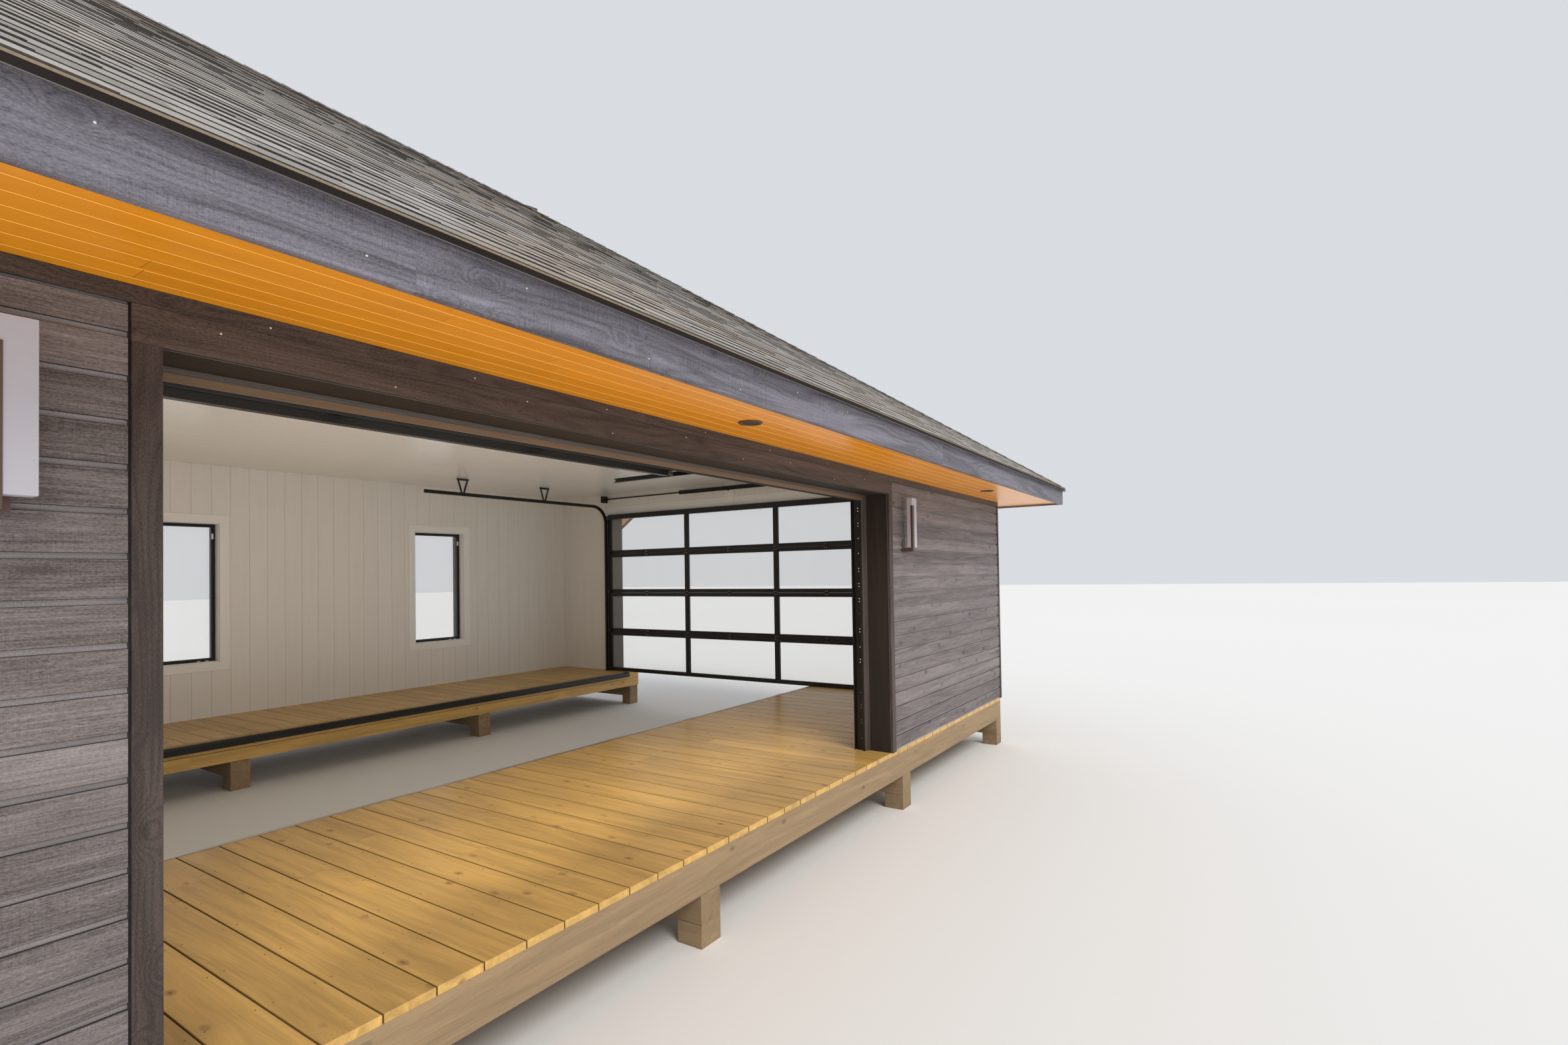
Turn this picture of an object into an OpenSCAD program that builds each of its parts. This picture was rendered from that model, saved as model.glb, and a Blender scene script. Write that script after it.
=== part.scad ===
// Boathouse with a hipped roof over a U-shaped deck and a boat slip.
// X runs along the building, Y across it, Z up from the waterline.
// The wide patio opening is on the -Y side, the boat door on the +X end.

/* [Building] */
// Length over the siding
wall_len = 12560; // [11400:20:14000]
// Width over the siding
wall_wid = 8500; // [7900:20:9200]
// Wall thickness, siding face to inner board face
wall_t = 270; // [200:5:300]
// Deck top above the waterline
deck_h = 600; // [540:10:800]
// Ceiling above the deck
ceiling_h = 3204; // [3150:2:3260]

/* [Roof] */
// Rise of the roof for 1 unit of run
roof_slope = 0.66; // [0.5:0.005:0.8]
// Siding face to the outer face of the fascia
overhang = 710; // [560:10:900]
// Soffit face above the deck
soffit_h = 2613; // [2590:1:2660]
// Height of the fascia board
fascia_h = 200; // [160:2:240]
// Thickness of the fascia board
fascia_t = 38; // [25:1:50]
// Plumb thickness of roof boards and shingles
roof_t = 34; // [24:2:90]

// Half width of the gable over the boat door, at its eaves
gable_half = 3500; // [3300:10:3800]

/* [Deck and slip] */
// Front deck, siding face to the slip
front_deck_w = 2745; // [2600:5:3000]
// Back deck, siding face to the slip
back_deck_w = 1890; // [1500:5:2200]
// Near end deck, siding face to the slip
near_deck_w = 2400; // [1600:10:3600]
// Thickness of the deck boards
board_t = 38; // [25:1:50]
// Height of the joists
joist_h = 235; // [184:1:286]
// Width of a joist
joist_w = 38; // [32:1:60]
// Greatest spacing of the joists
joist_pitch = 500; // [300:10:610]
// Greatest spacing of the posts
post_pitch = 3200; // [2000:50:3600]
// Height of the timber beams
beam_h = 184; // [140:1:240]
// Width of the beams and side of the square posts
post_w = 190; // [140:5:240]

/* [Patio opening] */
// Width between the jambs
patio_w = 5500; // [4800:10:6000]
// Height under the head jamb
patio_h = 2438; // [2200:2:2460]
// Width of the flat casing
casing_w = 78; // [60:1:110]
// Thickness of casings, corner trims and frieze
trim_t = 18; // [12:1:25]
// How far the stop frame reaches into the opening
stop_w = 50; // [30:1:70]
// Thickness of the stop frame
stop_t = 28; // [18:1:40]

/* [Boat opening] */
// Width between the jambs
boat_w = 5430; // [4800:10:6000]
// Height under the head jamb
boat_h = 2790; // [2500:2:2820]

/* [Overhead doors] */
// How far the boat door reaches past the opening on each side
boat_door_lap = 25; // [10:1:50]
// How far the patio door reaches behind the stop frame on each side
patio_door_lap = 5; // [5:1:30]
// Thickness of the door sections
door_t = 45; // [35:1:60]
// Height of a section's rails
rail_h = 50; // [40:1:70]
// Width of the end stiles
stile_w = 75; // [50:1:110]
// Width of the mullions
mullion_w = 64; // [40:1:100]
// Thickness of the door panes
pane_t = 6; // [4:1:20]

/* [Door hardware] */
// Depth of the roller track
track_w = 50; // [40:1:70]
// Sheet thickness of the track
track_t = 3; // [2:0.5:5]
// Bend radius of the track
track_r = 300; // [250:10:380]
// Diameter of the torsion shaft
shaft_d = 26; // [20:1:40]
// Diameter of a torsion spring
spring_d = 68; // [50:1:90]
// Length of a torsion spring
spring_len = 960; // [600:20:1200]
// Diameter of a cable drum
drum_d = 120; // [90:1:150]
// Greatest spacing of the brackets on an upright track
bracket_pitch = 600; // [400:10:900]

/* [Windows] */
// Middle window off the middle of the back wall
win_shift = -35; // [-200:5:200]
// Width of a window opening
win_w = 850; // [700:10:1000]
// Height of a window opening
win_h = 1770; // [1400:10:1900]
// Head of a window opening above the deck
win_head = 2460; // [2300:5:2470]
// Spacing of the windows
win_pitch = 3470; // [3000:10:4000]
// Face width of the black window frame
win_frame_w = 34; // [25:1:60]
// Depth of the window frame
win_frame_d = 90; // [60:1:120]
// Width of the inner window casing
win_casing_w = 105; // [70:1:130]

/* [Lights] */
// Height of a wall light
sconce_h = 520; // [400:5:600]
// Diameter of a soffit light
pot_d = 150; // [90:1:180]
// Spacing of the soffit lights
pot_pitch = 4730; // [3000:10:5200]
// Jamb to the middle of a wall light
sconce_off = 360; // [200:5:600]
// Outlets above the deck
outlet_h = 600; // [300:10:1100]

/* [Hidden] */
$fn = 48;
half_len = wall_len / 2;
half_wid = wall_wid / 2;
wall_z0 = deck_h;
deck_frame_top = deck_h - board_t;
joist_z0 = deck_frame_top - joist_h;
beam_z0 = joist_z0 - beam_h;
// Roof planes pass through the eave edge at this height
drip_out = 30;
eave_out = overhang + drip_out;
fascia_z0 = deck_h + soffit_h - 22;
fascia_z1 = fascia_z0 + fascia_h;
eave_z = fascia_z1 + roof_t - roof_slope * drip_out;
function roof_top_z(inset) = eave_z + roof_slope * inset;
function roof_under_z(inset) = roof_top_z(inset) - roof_t;
ridge_half_wid = half_wid + eave_out;
ridge_half_len = half_len - half_wid;
ridge_z = roof_top_z(ridge_half_wid);
wall_z1 = roof_under_z(eave_out);
function gable_under_z(y) = roof_under_z(gable_half - y);
inner_x = half_len - wall_t;
inner_y = half_wid - wall_t;
ceiling_z = deck_h + ceiling_h;
ceiling_t = 20;
slip_front_y = front_deck_w - half_wid;
slip_back_y = half_wid - back_deck_w;
slip_near_x = near_deck_w - half_len;
patio_z1 = deck_h + patio_h;
boat_z1 = deck_h + boat_h;
jamb_t = 20;
frieze_h = 55;
soffit_t = 16;
soffit_z = deck_h + soffit_h;
slip_board_t = 25;
seat_gap = 0.3;
win_set = 110;
win_sill = win_head - win_h;
roller_out = 30;
roller_bracket_h = 48;
track_depth = 28;
track_gap = 12;
track_lip = 9;
angle_w = 34;
flag_h = 90;
bracket_set = 150;
bracket_half = 30;
cable_d = 4;
cable_side = 6;
cable_out = 7;
hanger_inset = 620;
door_sections = 4;
section_gap = 2;
door_lift = 2;
patio_door_w = patio_w - 2 * stop_w + 2 * patio_door_lap;
patio_head_gap = 14;
patio_section_h = (patio_h - patio_head_gap) / door_sections;
boat_door_w = boat_w + 2 * boat_door_lap;
boat_head_lap = 26;
boat_section_h = (boat_h + boat_head_lap) / door_sections;
patio_track_rise = 412;
boat_track_rise = 175;
patio_track_z = patio_z1 + patio_track_rise;
boat_track_z = boat_z1 + boat_track_rise;
patio_track_spare = 462;
boat_track_spare = 410;
patio_track_run = patio_h + patio_track_spare;
boat_track_run = boat_h + boat_track_spare;
shaft_drop = 99;
shaft_z = ceiling_z - shaft_drop;
shaft_out = 110;
patio_door_set = 12;
patio_door_y = door_sections * patio_section_h - patio_door_set - inner_y;
pane_cols = 3;
sconce_x = patio_w / 2 + sconce_off;
sconce_drop = 543;
sconce_z = patio_z1 - sconce_drop;
pot_y = -half_wid - overhang / 2;

// A block between two corners
module block(low, high) {
    translate(low) cube(high - low);
}

// Evenly spaced places from first to last, no further apart than pitch
function spread(first, last, pitch) =
    let (n = max(1, ceil((last - first) / pitch)))
    [for (i = [0:n]) first + (last - first) * i / n];

// Timber posts with a beam across each pair
module posts_and_beams(xs, y0, y1, ys) {
    color("peru") for (x = xs) {
        block([x - post_w / 2, y0, beam_z0], [x + post_w / 2, y1, joist_z0]);
        for (y = ys)
            block([x - post_w / 2, y - post_w / 2, 0], [x + post_w / 2, y + post_w / 2, beam_z0 - seat_gap]);
    }
}

module front_posts_and_beams() {
    posts_and_beams(spread(post_w / 2 - half_len, half_len - post_w / 2, post_pitch), -half_wid, slip_front_y,
        [post_w / 2 - half_wid, slip_front_y - post_w / 2]);
}

module back_posts_and_beams() {
    posts_and_beams(spread(post_w / 2 - half_len, half_len - post_w / 2, post_pitch), slip_back_y, half_wid,
        [slip_back_y + post_w / 2, half_wid - post_w / 2]);
}

module near_posts_and_beams() {
    mid_y = (slip_front_y + slip_back_y) / 2;
    posts_and_beams([post_w / 2 - half_len, slip_near_x - post_w / 2], slip_front_y, slip_back_y, [mid_y]);
}

// Rim and joists; the joists run along the building and hang between the rims
module deck_frame(x0, x1, y0, y1) {
    inset = joist_w + seat_gap;
    color("burlywood") {
        for (y = spread(y0, y1 - joist_w, joist_pitch))
            block([x0 + inset, y, joist_z0], [x1 - inset, y + joist_w, deck_frame_top]);
        for (x = [x0, x1 - joist_w])
            block([x, y0, joist_z0], [x + joist_w, y1, deck_frame_top]);
    }
}

module front_deck_frame() { deck_frame(-half_len, half_len, -half_wid, slip_front_y); }
module back_deck_frame() { deck_frame(-half_len, half_len, slip_back_y, half_wid); }
module near_deck_frame() { deck_frame(-half_len, slip_near_x, slip_front_y, slip_back_y); }

module deck_slab(x0, x1, y0, y1) {
    color("goldenrod") block([x0, y0, deck_frame_top], [x1, y1, deck_h]);
}

module front_deck() { deck_slab(-half_len, half_len, -half_wid, slip_front_y); }
module back_deck() { deck_slab(-half_len, half_len, slip_back_y, half_wid); }
module near_deck() { deck_slab(-half_len, slip_near_x, slip_front_y, slip_back_y); }

// Boards that line the three sides of the slip
module slip_edge_boards() {
    color("darkgoldenrod") difference() {
        block([slip_near_x, slip_front_y, joist_z0], [half_len, slip_back_y, deck_h]);
        block([slip_near_x + slip_board_t, slip_front_y + slip_board_t, joist_z0 - 1],
            [half_len + 1, slip_back_y - slip_board_t, deck_h + 1]);
    }
}

// Black vinyl bumper along the back edge of the slip
module slip_bumper() {
    bumper_h = 90;
    bumper_t = 50;
    bumper_r = 21;
    color("dimgray") translate([slip_near_x + slip_board_t, slip_back_y - slip_board_t, deck_h - bumper_h - 10])
        rotate([90, 0, 90]) linear_extrude(inner_x - slip_near_x - slip_board_t) union() {
            translate([-bumper_t, 0]) offset(bumper_r) offset(delta = -bumper_r) square([bumper_t, bumper_h]);
            translate([-bumper_t / 2, 0]) square([bumper_t / 2, bumper_h]);
        }
}

module wall_block(low, high) {
    color("dimgray") block(low, high);
}

module front_wall_left() {
    wall_block([-half_len, -half_wid, wall_z0], [-patio_w / 2 - jamb_t, -inner_y, wall_z1]);
}
module front_wall_right() {
    wall_block([patio_w / 2 + jamb_t, -half_wid, wall_z0], [half_len, -inner_y, wall_z1]);
}
module front_wall_header() {
    wall_block([-patio_w / 2 - jamb_t, -half_wid, patio_z1 + jamb_t],
        [patio_w / 2 + jamb_t, -inner_y, wall_z1]);
}

window_xs = [win_shift - win_pitch, win_shift, win_shift + win_pitch];
win_z0 = deck_h + win_sill;
win_z1 = win_z0 + win_h;

module back_wall() {
    color("dimgray") difference() {
        block([-half_len, inner_y, wall_z0], [half_len, half_wid, wall_z1]);
        for (x = window_xs)
            block([x - win_w / 2, inner_y - 1, win_z0], [x + win_w / 2, half_wid + 1, win_z1]);
    }
}

module near_end_wall() {
    wall_block([-half_len, -inner_y, wall_z0], [-inner_x, inner_y, wall_z1]);
}
module boat_end_wall_front() {
    wall_block([inner_x, -inner_y, wall_z0], [half_len, -boat_w / 2 - jamb_t, wall_z1]);
}
module boat_end_wall_back() {
    wall_block([inner_x, boat_w / 2 + jamb_t, wall_z0], [half_len, inner_y, wall_z1]);
}
module boat_end_gable_wall() {
    half = boat_w / 2 + jamb_t;
    color("dimgray") translate([inner_x, 0, 0]) rotate([90, 0, 90]) linear_extrude(wall_t)
        polygon([[-half, boat_z1 + jamb_t], [half, boat_z1 + jamb_t],
            [half, gable_under_z(half)], [0, gable_under_z(0)], [-half, gable_under_z(half)]]);
}

module ceiling() {
    color("white") block([-inner_x, -inner_y, ceiling_z], [inner_x, inner_y, ceiling_z + ceiling_t]);
}

// One sloping side of the roof on the -Y side, cut at the hips
module long_roof_side() {
    out_x = half_len + eave_out;
    color("gray") intersection() {
        translate([-out_x, 0, 0]) rotate([90, 0, 90]) linear_extrude(2 * out_x)
            polygon([[-ridge_half_wid, eave_z - roof_t], [0, ridge_z - roof_t],
                [0, ridge_z], [-ridge_half_wid, eave_z]]);
        linear_extrude(ridge_z + 10)
            polygon([[-out_x, -ridge_half_wid], [out_x, -ridge_half_wid],
                [ridge_half_len, 0], [-ridge_half_len, 0]]);
    }
}

// One sloping end of the roof on the +X side, cut at the hips
module roof_end() {
    out_x = half_len + eave_out;
    translate([0, ridge_half_wid, 0]) rotate([90, 0, 0]) linear_extrude(2 * ridge_half_wid)
        polygon([[out_x, eave_z - roof_t], [out_x, eave_z],
            [ridge_half_len, ridge_z], [ridge_half_len, ridge_z - roof_t]]);
}

module end_plan(half) {
    out_x = half_len + eave_out;
    polygon([[out_x, -half], [out_x, half], [out_x - half, 0]]);
}

module roof_near_end() {
    color("gray") mirror([1, 0, 0]) intersection() {
        roof_end();
        linear_extrude(ridge_z + 10) end_plan(ridge_half_wid);
    }
}

module roof_boat_end() {
    color("gray") intersection() {
        roof_end();
        linear_extrude(ridge_z + 10) difference() {
            end_plan(ridge_half_wid);
            end_plan(gable_half);
        }
    }
}

// Two sloping sides over the boat door, cut at the valleys
module roof_gable() {
    out_x = half_len + eave_out;
    top = roof_top_z(gable_half);
    color("gray") intersection() {
        translate([out_x - gable_half, 0, 0]) rotate([90, 0, 90]) linear_extrude(gable_half)
            polygon([[-gable_half, eave_z - roof_t], [0, top - roof_t], [gable_half, eave_z - roof_t],
                [gable_half, eave_z], [0, top], [-gable_half, eave_z]]);
        linear_extrude(ridge_z + 10) end_plan(gable_half);
    }
}

module roof_front() { long_roof_side(); }
module roof_back() { mirror([0, 1, 0]) long_roof_side(); }

cap_w = 150;
cap_t = 14;

// Section of a folded cap whose wings fall by the given slope
module cap_section(fall) {
    polygon([[-cap_w, -fall * cap_w], [0, 0], [cap_w, -fall * cap_w],
        [cap_w, cap_t - fall * cap_w], [0, cap_t], [-cap_w, cap_t - fall * cap_w]]);
}

// Body under the four main slopes, raised by a rise and spread past the eaves
module under_slopes(rise, spread) {
    wid = ridge_half_wid + spread;
    len = ridge_half_len + wid;
    edge = eave_z + rise - roof_slope * spread;
    foot = edge - 100;
    intersection() {
        translate([-len, 0, 0]) rotate([90, 0, 90]) linear_extrude(2 * len)
            polygon([[-wid, foot], [wid, foot], [wid, edge], [0, ridge_z + rise], [-wid, edge]]);
        translate([0, wid, 0]) rotate([90, 0, 0]) linear_extrude(2 * wid)
            polygon([[-len, foot], [len, foot], [len, edge], [ridge_half_len, ridge_z + rise],
                [-ridge_half_len, ridge_z + rise], [-len, edge]]);
    }
}

// Bands in plan along the main ridge and the four hips
module cap_plan() {
    wing = cap_w * sqrt(2);
    out_x = ridge_half_len + ridge_half_wid;
    square([2 * ridge_half_len, 2 * cap_w], center = true);
    for (mx = [0, 1], my = [0, 1]) mirror([mx, 0]) mirror([0, my])
        polygon([[ridge_half_len - wing, 0], [ridge_half_len + wing, 0],
            [out_x, ridge_half_wid - wing], [out_x, ridge_half_wid], [out_x - wing, ridge_half_wid]]);
}

module hip_and_ridge_caps() {
    color("slategray") translate([0, 0, seat_gap]) {
        intersection() {
            translate([0, 0, eave_z - cap_w]) linear_extrude(ridge_z - eave_z + 2 * cap_w) cap_plan();
            difference() {
                under_slopes(cap_t, 0);
                under_slopes(0, cap_w);
            }
        }
        intersection() {
            translate([half_len + eave_out - gable_half, 0, roof_top_z(gable_half)]) rotate([90, 0, 90])
                linear_extrude(gable_half) cap_section(roof_slope);
            linear_extrude(ridge_z) end_plan(gable_half);
        }
    }
}

fascia_out_x = half_len + overhang;
fascia_out_y = half_wid + overhang;

// Two sloping bands under the sides of the gable, as deep as the given plumb depth,
// that meet at a plumb joint under the ridge
module gable_band(x0, x1, drop, depth, half) {
    mid = seat_gap / 2;
    for (my = [0, 1]) mirror([0, my, 0])
        translate([x0, 0, 0]) rotate([90, 0, 90]) linear_extrude(x1 - x0)
            polygon([[mid, gable_under_z(mid) - drop - depth], [half, gable_under_z(half) - drop - depth],
                [half, gable_under_z(half) - drop], [mid, gable_under_z(mid) - drop]]);
}

// Level boards along the eaves and sloping ones up the gable
module fascia_boards() {
    eave_y = gable_half - drip_out;
    color("dimgray") {
        for (my = [0, 1]) mirror([0, my, 0]) {
            block([-fascia_out_x, -fascia_out_y, fascia_z0], [fascia_out_x, fascia_t - fascia_out_y, fascia_z1]);
            block([fascia_out_x - fascia_t, fascia_t + seat_gap - fascia_out_y, fascia_z0],
                [fascia_out_x, -eave_y - seat_gap, fascia_z1]);
        }
        block([-fascia_out_x, fascia_t + seat_gap - fascia_out_y, fascia_z0],
            [fascia_t - fascia_out_x, fascia_out_y - fascia_t - seat_gap, fascia_z1]);
        gable_band(fascia_out_x - fascia_t, fascia_out_x, 0, fascia_h, eave_y);
    }
}

soffit_out_x = fascia_out_x - fascia_t;
soffit_out_y = fascia_out_y - fascia_t;

module soffit_plan(points) {
    translate([0, 0, soffit_z]) linear_extrude(soffit_t) polygon(points);
}

// Level panels round the eaves and sloping ones under the gable
module soffit_panels() {
    color("orange") {
        for (my = [0, 1]) mirror([0, my, 0]) {
            soffit_plan([[-soffit_out_x, -soffit_out_y], [soffit_out_x, -soffit_out_y],
                [half_len, -half_wid], [-half_len, -half_wid]]);
            soffit_plan([[soffit_out_x, seat_gap - soffit_out_y], [soffit_out_x, -gable_half - seat_gap],
                [half_len, -gable_half - seat_gap], [half_len, seat_gap - half_wid]]);
        }
        soffit_plan([[-soffit_out_x, seat_gap - soffit_out_y], [-soffit_out_x, soffit_out_y - seat_gap],
            [-half_len, half_wid - seat_gap], [-half_len, seat_gap - half_wid]]);
        gable_band(half_len, soffit_out_x, fascia_h - 22 - soffit_t, soffit_t, gable_half);
    }
}

// Metal edge that covers the plumb cut of the roof boards
module drip_edge() {
    drip_t = 3;
    out_x = half_len + eave_out;
    out_y = half_wid + eave_out;
    color("black") {
        difference() {
            block([-out_x - drip_t, -out_y - drip_t, eave_z - roof_t], [out_x + drip_t, out_y + drip_t, eave_z]);
            block([-out_x, -out_y, eave_z - roof_t - 1], [out_x, out_y, eave_z + 1]);
            block([0, -gable_half, eave_z - roof_t - 1], [out_x + drip_t + 1, gable_half, eave_z + 1]);
        }
        gable_band(out_x, out_x + drip_t, -roof_t, roof_t, gable_half);
    }
}

corner_w = 35;

module frieze_and_corner_trim() {
    out_x = half_len + trim_t;
    out_y = half_wid + trim_t;
    color("dimgray") difference() {
        union() {
            block([-out_x, -out_y, soffit_z - frieze_h], [out_x, out_y, soffit_z]);
            for (mx = [0, 1], my = [0, 1]) mirror([mx, 0, 0]) mirror([0, my, 0])
                block([half_len - corner_w, half_wid - corner_w, wall_z0], [out_x, out_y, soffit_z - frieze_h]);
        }
        block([-half_len, -half_wid, wall_z0 - 1], [half_len, half_wid, soffit_z + 1]);
        block([0, -gable_half, wall_z0 - 1], [out_x + 1, gable_half, soffit_z + 1]);
    }
}

// Flat casing round the patio opening, with the head board up to the frieze
module patio_casing() {
    color("dimgray") difference() {
        block([-patio_w / 2 - casing_w, -half_wid - trim_t, wall_z0],
            [patio_w / 2 + casing_w, -half_wid, soffit_z - frieze_h]);
        block([-patio_w / 2, -half_wid - trim_t - 1, wall_z0 - 1], [patio_w / 2, -half_wid + 1, patio_z1]);
    }
}

// Jamb boards with a stop frame at their inner edge
module patio_jamb() {
    color("saddlebrown") union() {
        difference() {
            block([-patio_w / 2 - jamb_t, -half_wid, wall_z0], [patio_w / 2 + jamb_t, -inner_y, patio_z1 + jamb_t]);
            block([-patio_w / 2, -half_wid - 1, wall_z0 - 1], [patio_w / 2, -inner_y + 1, patio_z1]);
        }
        difference() {
            block([-patio_w / 2, -inner_y - stop_t, wall_z0], [patio_w / 2, -inner_y, patio_z1]);
            block([stop_w - patio_w / 2, -inner_y - stop_t - 1, wall_z0 - 1],
                [patio_w / 2 - stop_w, -inner_y + 1, patio_z1 - stop_w]);
        }
    }
}

head_casing_h = 120;

module boat_casing() {
    color("dimgray") difference() {
        block([half_len, -boat_w / 2 - casing_w, wall_z0],
            [half_len + trim_t, boat_w / 2 + casing_w, boat_z1 + head_casing_h]);
        block([half_len - 1, -boat_w / 2, wall_z0 - 1], [half_len + trim_t + 1, boat_w / 2, boat_z1]);
    }
}

module boat_jamb() {
    color("dimgray") difference() {
        block([inner_x, -boat_w / 2 - jamb_t, wall_z0], [half_len, boat_w / 2 + jamb_t, boat_z1 + jamb_t]);
        block([inner_x - 1, -boat_w / 2, wall_z0 - 1], [half_len + 1, boat_w / 2, boat_z1]);
    }
}

// A rectangular ring that stands in the XZ plane and is d deep along Y
module upright_ring(w, h, face, d) {
    translate([0, d, 0]) rotate([90, 0, 0]) linear_extrude(d) difference() {
        translate([-w / 2, 0]) square([w, h]);
        translate([face - w / 2, face]) square([w - 2 * face, h - 2 * face]);
    }
}

// Frames, each with a narrow sash on the room side
module window_frames() {
    sash_set = 22;
    sash_w = 30;
    sash_t = 12;
    color("black") for (x = window_xs) translate([x, inner_y + win_set, win_z0]) {
        upright_ring(win_w, win_h, win_frame_w, win_frame_d);
        translate([0, -sash_t, sash_set])
            upright_ring(win_w - 2 * sash_set, win_h - 2 * sash_set, sash_w, sash_t + 1);
    }
}

module window_glass() {
    color("lightcyan", 0.4) for (x = window_xs)
        block([x - win_w / 2 + win_frame_w, inner_y + win_set + win_frame_d / 2, win_z0 + win_frame_w],
            [x + win_w / 2 - win_frame_w, inner_y + win_set + win_frame_d / 2 + 2 * pane_t,
                win_z1 - win_frame_w]);
}

// Inner and outer casings; the opening's edge is the ring's inner edge
module window_casings() {
    color("whitesmoke") for (x = window_xs) {
        translate([x, inner_y - trim_t, win_z0]) window_casing(win_casing_w);
        translate([x, half_wid, win_z0]) window_casing(casing_w);
    }
}
module window_casing(face) {
    translate([0, 0, -face]) upright_ring(win_w + 2 * face, win_h + 2 * face, face, trim_t);
}

// Outline of one glazed door section: rails, end stiles and mullions
function pane_w(w) = (w - 2 * stile_w - (pane_cols - 1) * mullion_w) / pane_cols;
function pane_x(w, i) = stile_w - w / 2 + i * (pane_w(w) + mullion_w);

module section_panes(w, h, grow) {
    for (i = [0:pane_cols - 1])
        translate([pane_x(w, i) - grow, rail_h - grow])
            square([pane_w(w) + 2 * grow, h - 2 * rail_h + 2 * grow]);
}

// Stands in the XZ plane with its outer face at y = 0 and its inner face at y = door_t
module door_section(w, h) {
    translate([0, door_t, 0]) rotate([90, 0, 0]) linear_extrude(door_t) difference() {
        translate([-w / 2, 0]) square([w, h]);
        section_panes(w, h, 0);
    }
}

// Folded strut along the top rail of the uppermost section
module top_strut(w, h) {
    strut_w = 76;
    strut_d = 57;
    strut_t = 3;
    strut_edge = 5;
    half = w / 2 - stile_w - strut_t;
    translate([0, door_t, h - strut_edge - strut_w]) difference() {
        block([-half, -1, 0], [half, strut_d, strut_w]);
        block([-half - 1, -2, strut_t], [half + 1, strut_d - strut_t, strut_w - strut_t]);
    }
}

module section_glass(w, h) {
    translate([0, (door_t + pane_t) / 2, 0]) rotate([90, 0, 0]) linear_extrude(pane_t)
        section_panes(w, h, 0);
}

// Hinges on the mullions and at the middle of each pane
function hinge_xs(w) = concat(
    [for (i = [1:pane_cols - 1]) pane_x(w, i) - mullion_w / 2],
    [for (i = [0:pane_cols - 1]) pane_x(w, i) + pane_w(w) / 2]);

// Two leaves on the inner faces and a barrel between them; the lower section is bent inwards
module hinge(bend) {
    leaf_h = 38;
    leaf_w = 62;
    leaf_t = 4;
    leaf_gap = 1;
    barrel_d = 14;
    block([-leaf_w / 2, 0, leaf_gap], [leaf_w / 2, leaf_t, leaf_h]);
    rotate([bend, 0, 0]) block([-leaf_w / 2, 0, -leaf_h], [leaf_w / 2, leaf_t, -leaf_gap]);
    translate([-leaf_w / 2, leaf_t + barrel_d / 2 - 1, 0]) rotate([0, 90, 0]) cylinder(d = barrel_d, h = leaf_w);
}

// Rollers at both edges, each with its stem and the bracket that holds it to the stile
module rollers(w, out, bracket_z0) {
    wheel_d = track_w - 2 * track_t - 2 * seat_gap;
    stem_d = 11;
    for (side = [0, 1]) mirror([side, 0, 0]) translate([w / 2, 0, 0]) {
        translate([6 - stile_w, out, 0]) rotate([0, 90, 0]) cylinder(d = stem_d, h = stile_w + track_gap + 6);
        translate([track_gap + track_lip / 2, out, 0]) rotate([0, 90, 0]) cylinder(d = wheel_d, h = 14);
        block([8 - stile_w, 0, bracket_z0], [-8, out + stem_d, bracket_z0 + roller_bracket_h]);
    }
}

// Hinges and rollers of the joint at z = 0 between two sections
module joint_hardware(w, bend) {
    translate([0, door_t, 0]) {
        for (x = hinge_xs(w)) translate([x, 0, 0]) hinge(bend);
        rollers(w, roller_out, 0);
    }
}

// Rollers of one section's own, at the given height and distance from its inner face
module edge_rollers(w, z, out) {
    translate([0, door_t, z]) rollers(w, out, -roller_bracket_h / 2);
}

// Pins beside the lowest rollers, which the lift cables end on
module cable_pins(w) {
    pin_d = 12;
    for (side = [-1, 1])
        translate([side * w / 2, door_t + cable_out, rail_h]) rotate([0, side * 90, 0])
            translate([0, 0, -20]) cylinder(d = pin_d, h = 20 + cable_side + cable_d);
}

// A lift cable in the YZ plane between two points
module lift_cable(x, from, to) {
    run = to - from;
    translate([x, from[0], from[1]]) rotate([-atan2(run[0], run[1]), 0, 0])
        cylinder(d = cable_d, h = norm(run), $fn = 12);
}

// Roller track cross-section: web outside, lips towards the door
module track_section() {
    difference() {
        translate([-track_w / 2, 0]) square([track_w, track_depth]);
        translate([track_t - track_w / 2, track_t]) square([track_w - 2 * track_t, track_depth - 2 * track_t]);
        translate([track_lip - track_w / 2, -1]) square([track_w - 2 * track_lip, track_t + 2]);
    }
}

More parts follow.
